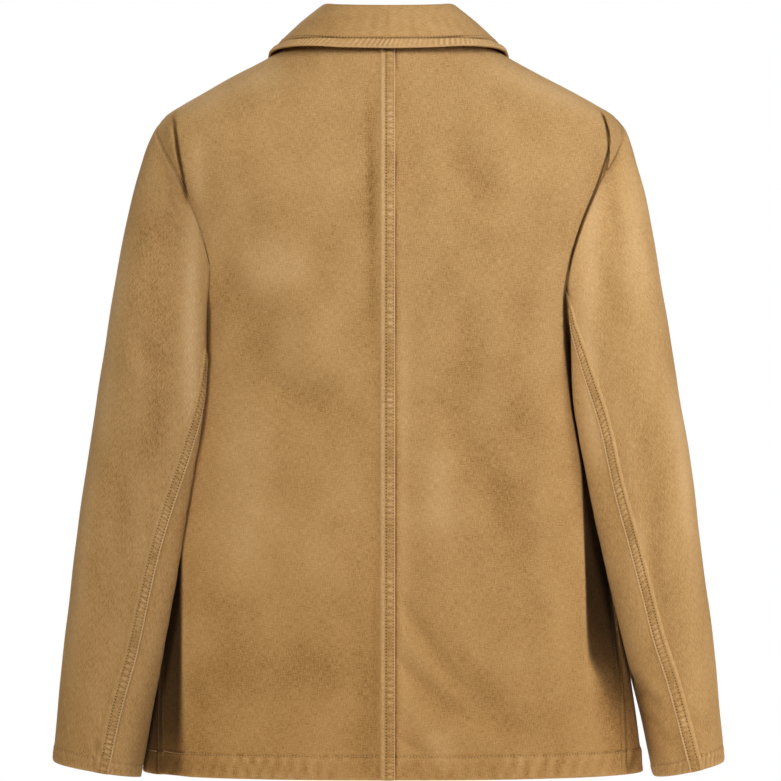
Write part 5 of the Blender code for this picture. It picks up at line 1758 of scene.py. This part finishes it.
class Sewing:
    """Collects the stitches and needle holes of one piece of the garment; the holes are dark discs
    of painted shade.
    """

    def __init__(self):
        self.threads = []
        self.holes = []
        self.thread_quads = []
        self.hole_quads = []
        self.thread_count = 0
        self.hole_count = 0

    def row(self, points, normals, lean=0.0, hole=HOLE_RADIUS):
        """Sew along a line of surface points; lean turns each stitch a little."""
        run = np.concatenate(([0.0], np.cumsum(length_of(np.diff(points, axis=0)))))
        count = int((run[-1] - STITCH_LENGTH) / STITCH_PITCH)
        if count < 1:
            return
        middles = (np.arange(count) + 0.5) * STITCH_PITCH
        spots = along_line(middles, run, points)
        outs = unit(along_line(middles, run, normals))
        along = unit(along_line(middles + LOOK_AHEAD, run, points) - spots)
        along = unit(along - outs * dot(along, outs)[:, None])
        beside = np.cross(outs, along)
        along = unit(along + beside * lean)
        beside = np.cross(outs, along)
        self.add_threads(spots, along, beside, outs)
        self.add_holes(spots + along * STITCH_PITCH * 0.5, along, beside, outs, hole)

    def add_threads(self, spots, along, beside, outs):
        half = STITCH_LENGTH / 2.0
        rings = [spots - along * half - outs * END_SINK]
        for place, width in STITCH_RINGS:
            centre = spots + along * (place * STITCH_LENGTH)
            w = THREAD_HALF * width
            rings += [centre + beside * w, centre + outs * THREAD_RISE * width,
                      centre - beside * w, centre - outs * THREAD_SINK]
        rings.append(spots + along * half - outs * END_SINK)
        block = np.stack(rings, axis=1)
        faces = []
        for k in range(4):
            ahead = (k + 1) % 4
            faces.append((0, 1 + ahead, 1 + k, 1 + k))
            faces.append((1 + k, 1 + ahead, 5 + ahead, 5 + k))
            faces.append((9, 5 + k, 5 + ahead, 5 + ahead))
        self.threads.append(block.reshape(-1, 3))
        starts = self.thread_count + np.arange(len(spots)) * 10
        self.thread_quads.append((starts[:, None, None] + np.array(faces)).reshape(-1, 4))
        self.thread_count += len(spots) * 10

    def add_holes(self, spots, along, beside, outs, radius):
        turns = np.arange(HOLE_SIDES) * math.tau / HOLE_SIDES
        ring = [spots + outs * HOLE_RISE
                + radius * (math.cos(a) * along + math.sin(a) * beside * HOLE_FLATNESS)
                for a in turns]
        self.holes.append(np.stack(ring, axis=1).reshape(-1, 3))
        starts = self.hole_count + np.arange(len(spots)) * HOLE_SIDES
        faces = np.array(((0, 1, 2, 3), (0, 3, 4, 5)))
        self.hole_quads.append((starts[:, None, None] + faces).reshape(-1, 4))
        self.hole_count += len(spots) * HOLE_SIDES

    def pieces(self, name):
        thread = polygons_of(name + "_stitches", np.concatenate(self.threads),
                             np.concatenate(self.thread_quads))
        holes = polygons_of(name + "_needle_holes", np.concatenate(self.holes),
                            np.concatenate(self.hole_quads))
        return thread, holes


def polygons_of(name, vertices, quads):
    """A mesh of quads and triangles; a quad that repeats a corner is a triangle."""
    mesh = bpy.data.meshes.new(name)
    faces = [tuple(dict.fromkeys(quad)) for quad in quads.tolist()]
    mesh.from_pydata((vertices * MM).tolist(), [], faces)
    mesh.update()
    return added(name, mesh)


LIFT = 0.12  # stitches lie this far off the cloth


def surface_row(surface, angle, z, side):
    """Points and normals along a line on a body surface."""
    points = surface(angle, z, side)
    normals = surface_normal(lambda a, h: surface(a, h, side), angle, z,
                             flat_out(points), ANGLE_STEP, HEIGHT_STEP)
    return points + normals * LIFT, normals


def angle_inside(border, distance, z, side, sign):
    """Angle that lies a distance from a border, towards the panel's middle."""
    return border - sign * distance / arc_pace(border, z, side)


ARM_SEWN = {LEFT: 22.0, RIGHT: 36.0}  # the armhole's back stitching runs to this turn


def sew_backs():
    """Rows of the centre band, the hem, the armholes and the shoulders."""
    sewing = Sewing()
    z = np.linspace(NECK_BACK_Z - 4.0, HEM_Z + 2.0, 700)
    for x in BACK_BAND.rows:
        points = band_surface(np.full(len(z), x), z)
        normals = body_normal(back_angle_at(x, z, LEFT), z, LEFT)
        sewing.row(points + normals * LIFT, normals, ROW_LEAN)
    for side in WORDS:
        seam = float(side_seam(HEM_Z + HEM_DEPTH))
        start = float(back_angle_at(side * 9.5, HEM_Z, side))
        angle = np.linspace(start, seam - 0.6, 260)
        level = np.full(len(angle), HEM_Z + HEM_DEPTH) + 0.8 * np.sin(angle * 0.31)
        sewing.row(*surface_row(back_surface, angle, level, side), hole=SMALL_HOLE)
        turn = np.linspace(4.0, ARM_SEWN[side], 90)
        arm_z = armhole_height(turn)
        for distance in ARM_ROWS:
            angle = angle_inside(armhole_back(turn), distance, arm_z, side, 1.0)
            sewing.row(*surface_row(back_surface, angle, arm_z, side))
        top = np.linspace(-4.0, SHOULDER_Z + 3.0, 120)
        for distance in SHOULDER_ROWS:
            angle = angle_inside(np.full(len(top), SHOULDER_ANGLE), distance, top, side, 1.0)
            sewing.row(*surface_row(back_surface, angle, top, side))
    return sewing.pieces("backs")


def sew_sides():
    """The felled side seams' rows, which lie in the hollows beside the sleeves."""
    sewing = Sewing()
    low = np.linspace(UNDERARM_Z - 6.0, HEM_Z + 2.0, 300)
    for side in WORDS:
        for distance in SIDE_ROWS:
            angle = angle_inside(side_seam(low), distance, low, side, 1.0)
            sewing.row(*surface_row(back_surface, angle, low, side), hole=SMALL_HOLE)
    return sewing.pieces("sides")


def sew_fronts():
    """Rows of the fronts' hems, free edges, armholes and lapels."""
    sewing = Sewing()
    for side in WORDS:
        level = HEM_Z + HEM_DEPTH
        edge = float(front_angle_at(-side * (OVERLAP - EDGE_ROW), level, side))
        angle = np.linspace(float(side_seam(level)) + 0.6, edge, 320)
        sewing.row(*surface_row(front_surface, angle, np.full(len(angle), level), side),
                   hole=SMALL_HOLE)
        z = np.linspace(BREAK_Z - 6.0, HEM_Z + 2.0, 340)
        angle = front_angle_at(-side * (OVERLAP - EDGE_ROW), z, side)
        sewing.row(*surface_row(front_surface, angle, z, side))
        turn = np.linspace(8.0, 168.0, 200)
        arm_z = armhole_height(turn)
        angle = angle_inside(armhole_front(turn), ARM_ROWS[0], arm_z, side, -1.0)
        sewing.row(*surface_row(front_surface, angle, arm_z, side))
        sew_lapel(sewing, side)
    return sewing.pieces("fronts")


def sew_lapel(sewing, side):
    """Topstitching along a lapel's outer edge and its head."""
    foot_roll, foot_edge, head_roll, head_edge = LAPEL_ENDS[side]
    share = np.linspace(0.03, 0.955, 260)
    z_roll = mix(foot_roll, head_roll, share)
    z_edge = mix(foot_edge, head_edge, share)
    reach = length_of(stack(lapel_edge(z_edge) - front_edge_x(z_roll), z_edge - z_roll, 0.0))
    part = np.maximum(1.0 - EDGE_ROW / reach, 0.3)
    points = np.array([
        lapel_grid(side, z_roll[k:k + 1], z_edge[k:k + 1], LAPEL_TURNS[:1], part[k:k + 1])[0, 1]
        for k in range(len(share))])
    out = front_normal(front_angle_at(points[:, 0], points[:, 2], side), points[:, 2], side)
    sewing.row(points + out * LIFT, out)


def sew_collar():
    sewing = Sewing()
    points, facings, from_edge = collar_grid()
    normals = grid_normals(points, facings)
    column = int(np.argmin(np.abs(from_edge[COLLAR_STATIONS] - COLLAR_BAND)))
    ends = slice(6, -6)
    out = normals[ends, column]
    sewing.row(points[ends, column] + out * LIFT, out, COLLAR_LEAN)
    return sewing.pieces("collar")


def sew_sleeves():
    """Rows of the sleeves' felled bands and cuffs."""
    sewing = Sewing()
    for side, form in forms.items():
        t = np.linspace(BAND_START[side] + 0.002, 0.999, 420)
        for row in SLEEVE_BAND.rows:
            offset = np.full(len(t), row)
            points, facings = sleeve_band_points(side, offset, t)
            height = sleeve_band_height(side, offset, t) + LIFT
            sewing.row(points + facings * height[:, None], facings, ROW_LEAN)
        cuff_t = 1.0 - CUFF_DEPTH / SLEEVE_LENGTH
        angle = np.linspace(-180.0, 180.0, 400)
        level = np.full(len(angle), cuff_t)
        facings = form.normal(angle, level)
        sewing.row(sleeve_surface(form, angle, level) + facings * LIFT, facings,
                   hole=SMALL_HOLE)
    return sewing.pieces("sleeves")


# ---------------------------------------------------------------- buttonholes and threads
HOLE_START = -3.0  # a buttonhole runs from here away from the front's edge
HOLE_END = 19.0
HOLE_HALF = 1.6  # half its height
HOLE_PURL = 0.55  # half height of its whipped edge
PURL_HALF = 0.8  # and half its width
WHIP_STATIONS = 64
WHIP_SIDES = 8
WHIP_STITCHES = 46.0
WHIP_WAVE = 0.18
CUT_COUNT = 12
CUT_HALF = 0.45  # half height of the cut
CUT_RISE = 0.2  # and how far it lies off the cloth


def buttonhole(height):
    """Whipped oval round a cut in the left front, under and beside its button."""
    turns = np.linspace(0.0, math.tau, WHIP_STATIONS + 1)[:-1]
    middle = (HOLE_START + HOLE_END) / 2.0
    reach = (HOLE_END - HOLE_START) / 2.0
    rounds = np.linspace(0.0, math.tau, WHIP_SIDES + 1)[:-1]
    x = middle + reach * np.sign(np.cos(turns)) * np.abs(np.cos(turns)) ** 0.55
    z = height + HOLE_HALF * np.sign(np.sin(turns)) * np.abs(np.sin(turns)) ** 0.9
    whip = 1.0 + WHIP_WAVE * np.cos(turns * WHIP_STITCHES)
    places = front_angle_at(x, z, LEFT)
    base = front_surface(places, z, LEFT)
    out = front_normal(places, z, LEFT)
    flat = unit(stack(np.cos(turns), 0.0, np.sin(turns)))
    ring = (base[:, None] + out[:, None] * (0.25 + np.sin(rounds)[None, :, None]
                                            * HOLE_PURL * whip[:, None, None])
            + flat[:, None] * (np.cos(rounds)[None, :, None] * PURL_HALF * whip[:, None, None]))
    rows, columns = ring.shape[:2]
    index = np.arange(rows * columns).reshape(rows, columns)
    a, b = index, np.roll(index, -1, axis=1)
    c, d = np.roll(b, -1, axis=0), np.roll(a, -1, axis=0)
    quads = np.stack((a.ravel(), b.ravel(), c.ravel(), d.ravel()), axis=-1)
    name = "buttonhole_" + str(int(-height))
    purl = mesh_of(name + "_whip", ring.reshape(-1, 3), quads)
    # The cut is a dark strip of painted shade in the slit.
    cut_x = np.linspace(HOLE_START + 1.0, HOLE_END - 1.0, CUT_COUNT)
    cut = []
    for z_off in (-CUT_HALF, CUT_HALF):
        level = np.full(len(cut_x), height + z_off)
        places = front_angle_at(cut_x, level, LEFT)
        out = front_normal(places, level, LEFT)
        cut.append(front_surface(places, level, LEFT) + out * CUT_RISE)
    slit = polygons_of(name + "_cut", np.concatenate(cut),
                       np.array([(k, k + 1, k + 1 + CUT_COUNT, k + CUT_COUNT)
                                 for k in range(CUT_COUNT - 1)]))
    return purl, slit


BAR_HALF = 0.55  # half width of a bar of thread
BAR_RINGS = 7
BAR_SIDES = ((-1.0, 0.0), (0.0, -0.5), (1.0, 0.0), (0.0, 0.5))  # beside, out
BAR_OUT = 0.35  # the second bar lies this far out over the first
BAR_SINK = 1.6  # how deep its ends run into the holes


def button_thread(name):
    """Two crossing bars of thread in a button's four holes."""
    low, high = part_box(name)
    centre = (np.array(low) + np.array(high)) / 2.0 / MM
    face = np.array(low)[1] / MM
    spread = BUTTON_HOLE_SPREAD
    bars = [np.array(((-spread, -spread), (spread, spread))),
            np.array(((-spread, spread), (spread, -spread)))]
    vertices = []
    quads = []
    for number, bar in enumerate(bars):
        along = unit(bar[1] - bar[0])
        beside = np.array((-along[1], along[0])) * BAR_HALF
        rise = face + BUTTON_DISH - 0.1 - BAR_OUT * number
        for place in np.linspace(0.0, 1.0, BAR_RINGS):
            spot = mix(bar[0], bar[1], place)
            sink = BAR_SINK * (2.0 * place - 1.0) ** 6
            for offset, lift in BAR_SIDES:
                at = spot + beside * offset
                vertices.append((centre[0] + at[0], rise + sink + lift, centre[2] + at[1]))
        start = number * 4 * BAR_RINGS
        for k in range(BAR_RINGS - 1):
            for c in range(4):
                a = start + 4 * k + c
                b = start + 4 * k + (c + 1) % 4
                quads.append((a, b, b + 4, a + 4))
    return mesh_of(name + "_thread", np.array(vertices), np.array(quads))


# ---------------------------------------------------------------- materials
# Colour of the cloth by its wear and painted shading, from the deepest seam to the palest edge.
TANS = (
    # level, red, green, blue
    (0.00,   0.120, 0.052, 0.012),
    (0.28,   0.370, 0.200, 0.068),
    (0.50,   0.530, 0.314, 0.123),
    (0.75,   0.640, 0.404, 0.185),
    (1.00,   0.750, 0.516, 0.275),
)
CLOTH_LENGTH = 740.0
LOW_TINT = (0.95, 0.87, 0.74)  # the colour is a little darker and more orange towards the hem
THREAD_TAN = (0.600, 0.390, 0.185)
SHADED_TAN = (0.200, 0.115, 0.045)
HOLE_SHADE_BROWN = (0.070, 0.034, 0.011)


def set_sockets(item, values):
    """Give constants to a node's sockets by their names."""
    for socket, value in values.items():
        item.inputs[socket].default_value = value


class Nodes:
    """Short hand for wiring one material."""

    def __init__(self, name):
        self.material = bpy.data.materials.new(name)
        self.material.use_nodes = True
        self.tree = self.material.node_tree
        self.shader = self.tree.nodes["Principled BSDF"]

    def node(self, kind, **values):
        item = self.tree.nodes.new(kind)
        for key, value in values.items():
            setattr(item, key, value)
        return item

    def link(self, source, target):
        self.tree.links.new(source, target)

    def mapping(self, source, scale):
        item = self.node("ShaderNodeMapping")
        item.inputs["Scale"].default_value = scale
        self.link(source, item.inputs["Vector"])
        return item.outputs["Vector"]

    def noise(self, source, scale, detail=2.0, roughness=0.5):
        item = self.node("ShaderNodeTexNoise")
        set_sockets(item, {"Scale": scale, "Detail": detail, "Roughness": roughness})
        self.link(source, item.inputs["Vector"])
        return item.outputs["Fac"]

    def grain(self, source, scale, roughness, detail=3.0):
        """Noise stretched by its own scale in each direction."""
        return self.noise(self.mapping(source, scale), 1.0, detail, roughness)

    def bump(self, height, strength, distance):
        item = self.node("ShaderNodeBump")
        set_sockets(item, {"Strength": strength, "Distance": distance})
        self.link(height, item.inputs["Height"])
        return item

    def math(self, operation, first, second=None, third=None):
        item = self.node("ShaderNodeMath", operation=operation)
        for slot_number, value in enumerate((first, second, third)):
            if value is None:
                continue
            if isinstance(value, (int, float)):
                item.inputs[slot_number].default_value = value
            else:
                self.link(value, item.inputs[slot_number])
        return item.outputs["Value"]

    def blend(self, factor, first, second):
        item = self.node("ShaderNodeMix", data_type="RGBA")
        if isinstance(factor, (int, float)):
            item.inputs["Factor"].default_value = factor
        else:
            self.link(factor, item.inputs["Factor"])
        for socket, value in ((item.inputs[6], first), (item.inputs[7], second)):
            if isinstance(value, tuple):
                socket.default_value = (*value, 1.0)
            else:
                self.link(value, socket)
        return item.outputs[2]


PAINTED_SHADE_START = -0.7  # attribute values below this are painted shade in hollows and only dim the colour
PAINTED_SHADE_KEPT = 0.35
# Colour that the deepest painted shade tends to.
PAINTED_SHADE_BROWN = (0.0100, 0.0030, 0.0003)
# Grain of the cloth in waves a millimetre, across and down: yarns, specks, the dye's clouds
# and small puckers, then each one's share of the colour.
WARP_SCALE = (1.25, 0.16, 1.0)
WEFT_SCALE = (0.16, 1.35, 1.0)
SPECK_SCALE = (0.95, 0.95, 1.0)
CLOUD_SCALE = (0.022, 0.017, 1.0)
PUCKER_SCALE = (0.16, 0.12, 1.0)
WARP_WAVE = (1.35, 1.35, 1.0)
WEFT_WAVE = (1.25, 1.25, 1.0)
WARP_SHARE = 0.34
WEFT_SHARE = 0.30
SPECK_SHARE = 0.36
CLOUD_SHARE = 0.35
WEAR_AND_SHADING_SHARE = 0.26
COTTON = {
    "Roughness": 0.93,
    "Specular IOR Level": 0.10,
    "Sheen Weight": 0.16,
    "Sheen Roughness": 0.38,
    "Sheen Tint": (1.0, 0.78, 0.50, 1.0),
}
HORN = {"Roughness": 0.34, "Coat Weight": 0.25, "Coat Roughness": 0.3}
HORN_SCALE = (420.0, 160.0, 90.0)
HORN_BROWNS = ((0.085, 0.042, 0.018), (0.300, 0.170, 0.080))
FLOOR_GREYS = ((0.86, 0.86, 0.86), (0.90, 0.90, 0.90))
TWIST_SCALE = 1400.0  # of a thread, in waves a metre
THREAD_TONES = (0.82, 1.15)


def cloth_look(name, tone=1.0, contrast=2.2):
    """Garment-dyed cotton: yarns in both directions, pale on edges and deep in seams and hollows,
    from wear and painted shading.
    """
    n = Nodes(name)
    place = n.node("ShaderNodeUVMap", uv_map="cloth").outputs["UV"]
    warp = n.grain(place, WARP_SCALE, 0.65)
    weft = n.grain(place, WEFT_SCALE, 0.65)
    speck = n.grain(place, SPECK_SCALE, 0.7)
    cloud = n.grain(place, CLOUD_SCALE, 0.55)
    yarn = n.math("ADD", n.math("MULTIPLY", warp, WARP_SHARE), n.math("MULTIPLY", weft, WEFT_SHARE))
    yarn = n.math("ADD", yarn, n.math("MULTIPLY", speck, SPECK_SHARE))
    spread = n.math("MULTIPLY_ADD", n.math("SUBTRACT", yarn, 0.5), contrast, 0.5)
    spread = n.math("ADD", spread,
                    n.math("MULTIPLY", n.math("SUBTRACT", cloud, 0.5), CLOUD_SHARE))
    wear = n.node("ShaderNodeAttribute", attribute_name="wear").outputs["Fac"]
    # Attribute values below the threshold are painted shade: they dim the colour towards a dark
    # brown.
    worn = n.math("MAXIMUM", wear, PAINTED_SHADE_START)
    hollow = n.math("MAXIMUM", n.math("SUBTRACT", PAINTED_SHADE_START, wear), 0.0)
    level = n.math("ADD", spread, n.math("MULTIPLY", worn, WEAR_AND_SHADING_SHARE))
    ramp = n.node("ShaderNodeValToRGB")
    elements = ramp.color_ramp.elements
    elements[0].position = TANS[0][0]
    elements[1].position = TANS[-1][0]
    for row in TANS[1:-1]:
        elements.new(row[0])
    for element, row in zip(elements, TANS):
        element.color = (*(c * tone for c in row[1:]), 1.0)
    n.link(level, ramp.inputs["Fac"])
    split = n.node("ShaderNodeSeparateXYZ")
    n.link(place, split.inputs["Vector"])
    down = n.math("DIVIDE", n.math("ABSOLUTE", split.outputs["Y"]), CLOTH_LENGTH)
    low = n.blend(n.math("POWER", down, 1.5), (1.0, 1.0, 1.0), LOW_TINT)
    tint = n.node("ShaderNodeMix", data_type="RGBA", blend_type="MULTIPLY")
    tint.inputs["Factor"].default_value = 1.0
    n.link(ramp.outputs["Color"], tint.inputs[6])
    n.link(low, tint.inputs[7])
    kept = n.math("POWER", PAINTED_SHADE_KEPT, hollow)
    n.link(n.blend(kept, PAINTED_SHADE_BROWN, tint.outputs[2]), n.shader.inputs["Base Color"])
    set_sockets(n.shader, COTTON)
    weave = n.math("MULTIPLY", wave(n, place, WARP_WAVE, "X"), wave(n, place, WEFT_WAVE, "Y"))
    fine = n.math("ADD", n.math("MULTIPLY", weave, 0.35), n.math("MULTIPLY", yarn, 1.0))
    bump = n.bump(fine, 0.55, 0.00035)
    soft = n.bump(n.grain(place, PUCKER_SCALE, 0.6), 0.5, 0.0010)
    n.link(bump.outputs["Normal"], soft.inputs["Normal"])
    n.link(soft.outputs["Normal"], n.shader.inputs["Normal"])
    return n.material


def wave(n, place, scale, direction):
    """Threads of the weave in one direction, for the surface's fine relief."""
    item = n.node("ShaderNodeTexWave", bands_direction=direction)
    set_sockets(item, {"Scale": 1.0, "Distortion": 0.35, "Detail": 1.0})
    n.link(n.mapping(place, scale), item.inputs["Vector"])
    return item.outputs["Fac"]


def thread_look(name, colour, roughness):
    """Twisted thread, a little paler and deeper along its length."""
    n = Nodes(name)
    place = n.node("ShaderNodeTexCoord").outputs["Object"]
    deep, pale = (tuple(c * tone for c in colour) for tone in THREAD_TONES)
    twist = n.noise(place, TWIST_SCALE, 1.0)
    n.link(n.blend(twist, deep, pale), n.shader.inputs["Base Color"])
    set_sockets(n.shader, {"Roughness": roughness, "Sheen Weight": 0.1})
    return n.material


def button_look(name):
    """Horn-like resin, streaked along one way."""
    n = Nodes(name)
    place = n.node("ShaderNodeTexCoord").outputs["Object"]
    streak = n.grain(place, HORN_SCALE, 0.6, 4.0)
    n.link(n.blend(streak, *HORN_BROWNS), n.shader.inputs["Base Color"])
    set_sockets(n.shader, HORN)
    return n.material


def floor_look(name):
    """Pale painted ground."""
    n = Nodes(name)
    place = n.node("ShaderNodeTexCoord").outputs["Object"]
    grain = n.noise(place, 6.0, 2.0)
    n.link(n.blend(grain, *FLOOR_GREYS), n.shader.inputs["Base Color"])
    set_sockets(n.shader, {"Roughness": 0.9})
    return n.material


def dress(thing, material):
    """Give a piece its material and let it ride with the body."""
    thing.data.materials.clear()
    thing.data.materials.append(material)
    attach(thing, "root")
    return thing


cloth = cloth_look("cotton_cloth")
# The sleeves are lit and shaded copies of the cloth: the left one darker as painted shade, the
# right one paler as painted light.
cloth_sleeves_lit_and_shaded = {"left": cloth_look("cotton_cloth_left_sleeve", 0.89, 2.7),
                 "right": cloth_look("cotton_cloth_right_sleeve", 1.09, 2.3)}
thread = thread_look("cotton_thread", THREAD_TAN, 0.75)
# Needle holes and buttonhole cuts are dark sheets of painted shade.
painted_hole_shade = thread_look("needle_hole_shade", HOLE_SHADE_BROWN, 0.95)
horn = button_look("horn_button")

made = {}
for side, word in WORDS.items():
    made["back_" + word] = back_piece(side)
    made["front_" + word] = front_piece(side)
    made["lapel_" + word] = lapel_piece(side)
    made["sleeve_" + word + "_top"] = sleeve_shell(side, False)
    made["sleeve_" + word + "_under"] = sleeve_shell(side, True)
made["collar"] = collar_piece()
for node, thing in made.items():
    dress(thing, cloth_sleeves_lit_and_shaded[node.split("_")[1]] if node.startswith("sleeve") else cloth)
    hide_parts(node)

bands = {"back": band_piece(), "left": sleeve_band(1.0), "right": sleeve_band(-1.0)}
for word, thing in bands.items():
    dress(thing, cloth_sleeves_lit_and_shaded.get(word, cloth))

shaded_thread = thread_look("cotton_thread_in_shade", SHADED_TAN, 0.9)
for thread_used, (thread_piece, hole_piece) in (
        (thread, sew_backs()), (shaded_thread, sew_sides()), (thread, sew_fronts()),
        (thread, sew_collar()), (thread, sew_sleeves())):
    dress(thread_piece, thread_used)
    dress(hole_piece, painted_hole_shade)

for node, height in BUTTONS:
    purl, cut = buttonhole(height)
    dress(purl, thread)
    dress(cut, painted_hole_shade)
    dress(button_thread(node), thread)
    solid = bpy.data.objects[node]
    for place in solid.material_slots:
        place.material = horn

# ---------------------------------------------------------------- stage
FLOOR_Z = -1.15
FLOOR_HALF = 3.0
AMBIENT = 0.05
AMBIENT_COLOUR = (1.0, 0.955, 0.89, 1.0)
LIGHTS = (
    # name, place, target, size, power, colour
    ("key_light", (-0.7, 1.5, 0.85), (0.0, 0.05, -0.30), 0.9, 16.5, (1.0, 0.99, 0.97)),
    ("side_light", (-2.4, 0.7, 0.3), (-0.2, 0.0, -0.40), 0.9, 30.0, (0.97, 1.0, 1.07)),
    ("fill_light", (1.6, 2.2, 0.9), (0.0, 0.0, -0.40), 1.2, 36.0, (1.0, 0.98, 0.93)),
    ("front_light", (0.8, -2.6, 0.8), (0.0, 0.0, -0.35), 1.8, 60.0, (1.0, 0.985, 0.96)),
)


def floor_plane():
    mesh = bpy.data.meshes.new("studio_floor")
    corners = [(FLOOR_HALF * x, FLOOR_HALF * y, FLOOR_Z)
               for x, y in ((-1.0, -1.0), (1.0, -1.0), (1.0, 1.0), (-1.0, 1.0))]
    mesh.from_pydata(corners, [], [(0, 1, 2, 3)])
    mesh.materials.append(floor_look("studio_floor_paint"))
    return added("studio_floor", mesh)


def area_light(name, place, target, size, power, colour):
    data = bpy.data.lights.new(name, "AREA")
    data.shape = "SQUARE"
    data.size = size
    data.energy = power
    data.color = colour
    thing = added(name, data)
    thing.location = place
    aim = (Vector(target) - Vector(place)).to_track_quat("-Z", "Y")
    thing.rotation_euler = aim.to_euler()
    return thing


def world_light():
    """Soft light from all round; the open ground behind the jacket shows white."""
    world = bpy.data.worlds.new("studio")
    world.use_nodes = True
    tree = world.node_tree
    tree.nodes.clear()
    out = tree.nodes.new("ShaderNodeOutputWorld")
    soft = tree.nodes.new("ShaderNodeBackground")
    set_sockets(soft, {"Color": AMBIENT_COLOUR, "Strength": AMBIENT})
    shown = tree.nodes.new("ShaderNodeBackground")
    set_sockets(shown, {"Color": (1.0, 1.0, 1.0, 1.0), "Strength": 1.0})
    path = tree.nodes.new("ShaderNodeLightPath")
    choose = tree.nodes.new("ShaderNodeMixShader")
    tree.links.new(path.outputs["Is Camera Ray"], choose.inputs["Fac"])
    tree.links.new(soft.outputs["Background"], choose.inputs[1])
    tree.links.new(shown.outputs["Background"], choose.inputs[2])
    tree.links.new(choose.outputs["Shader"], out.inputs["Surface"])
    bpy.context.scene.world = world


floor_plane()
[area_light(*row) for row in LIGHTS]
world_light()

CAMERA_PLACE = (-0.002, 3.5, -0.36)
HALF_VIEW = 0.3905  # half the height of the picture at the garment, in metres
lens = bpy.data.cameras.new("camera")
lens.sensor_fit = "AUTO"
lens.angle = 2.0 * math.atan(HALF_VIEW / CAMERA_PLACE[1])
lens.clip_end = 60.0
camera = added("camera", lens)
camera.matrix_world = Matrix.Translation(CAMERA_PLACE) @ (
    Matrix.Rotation(math.pi, 4, "Z") @ Matrix.Rotation(math.pi / 2.0, 4, "X"))
bpy.context.scene.camera = camera
bpy.context.scene.view_settings.view_transform = "Standard"
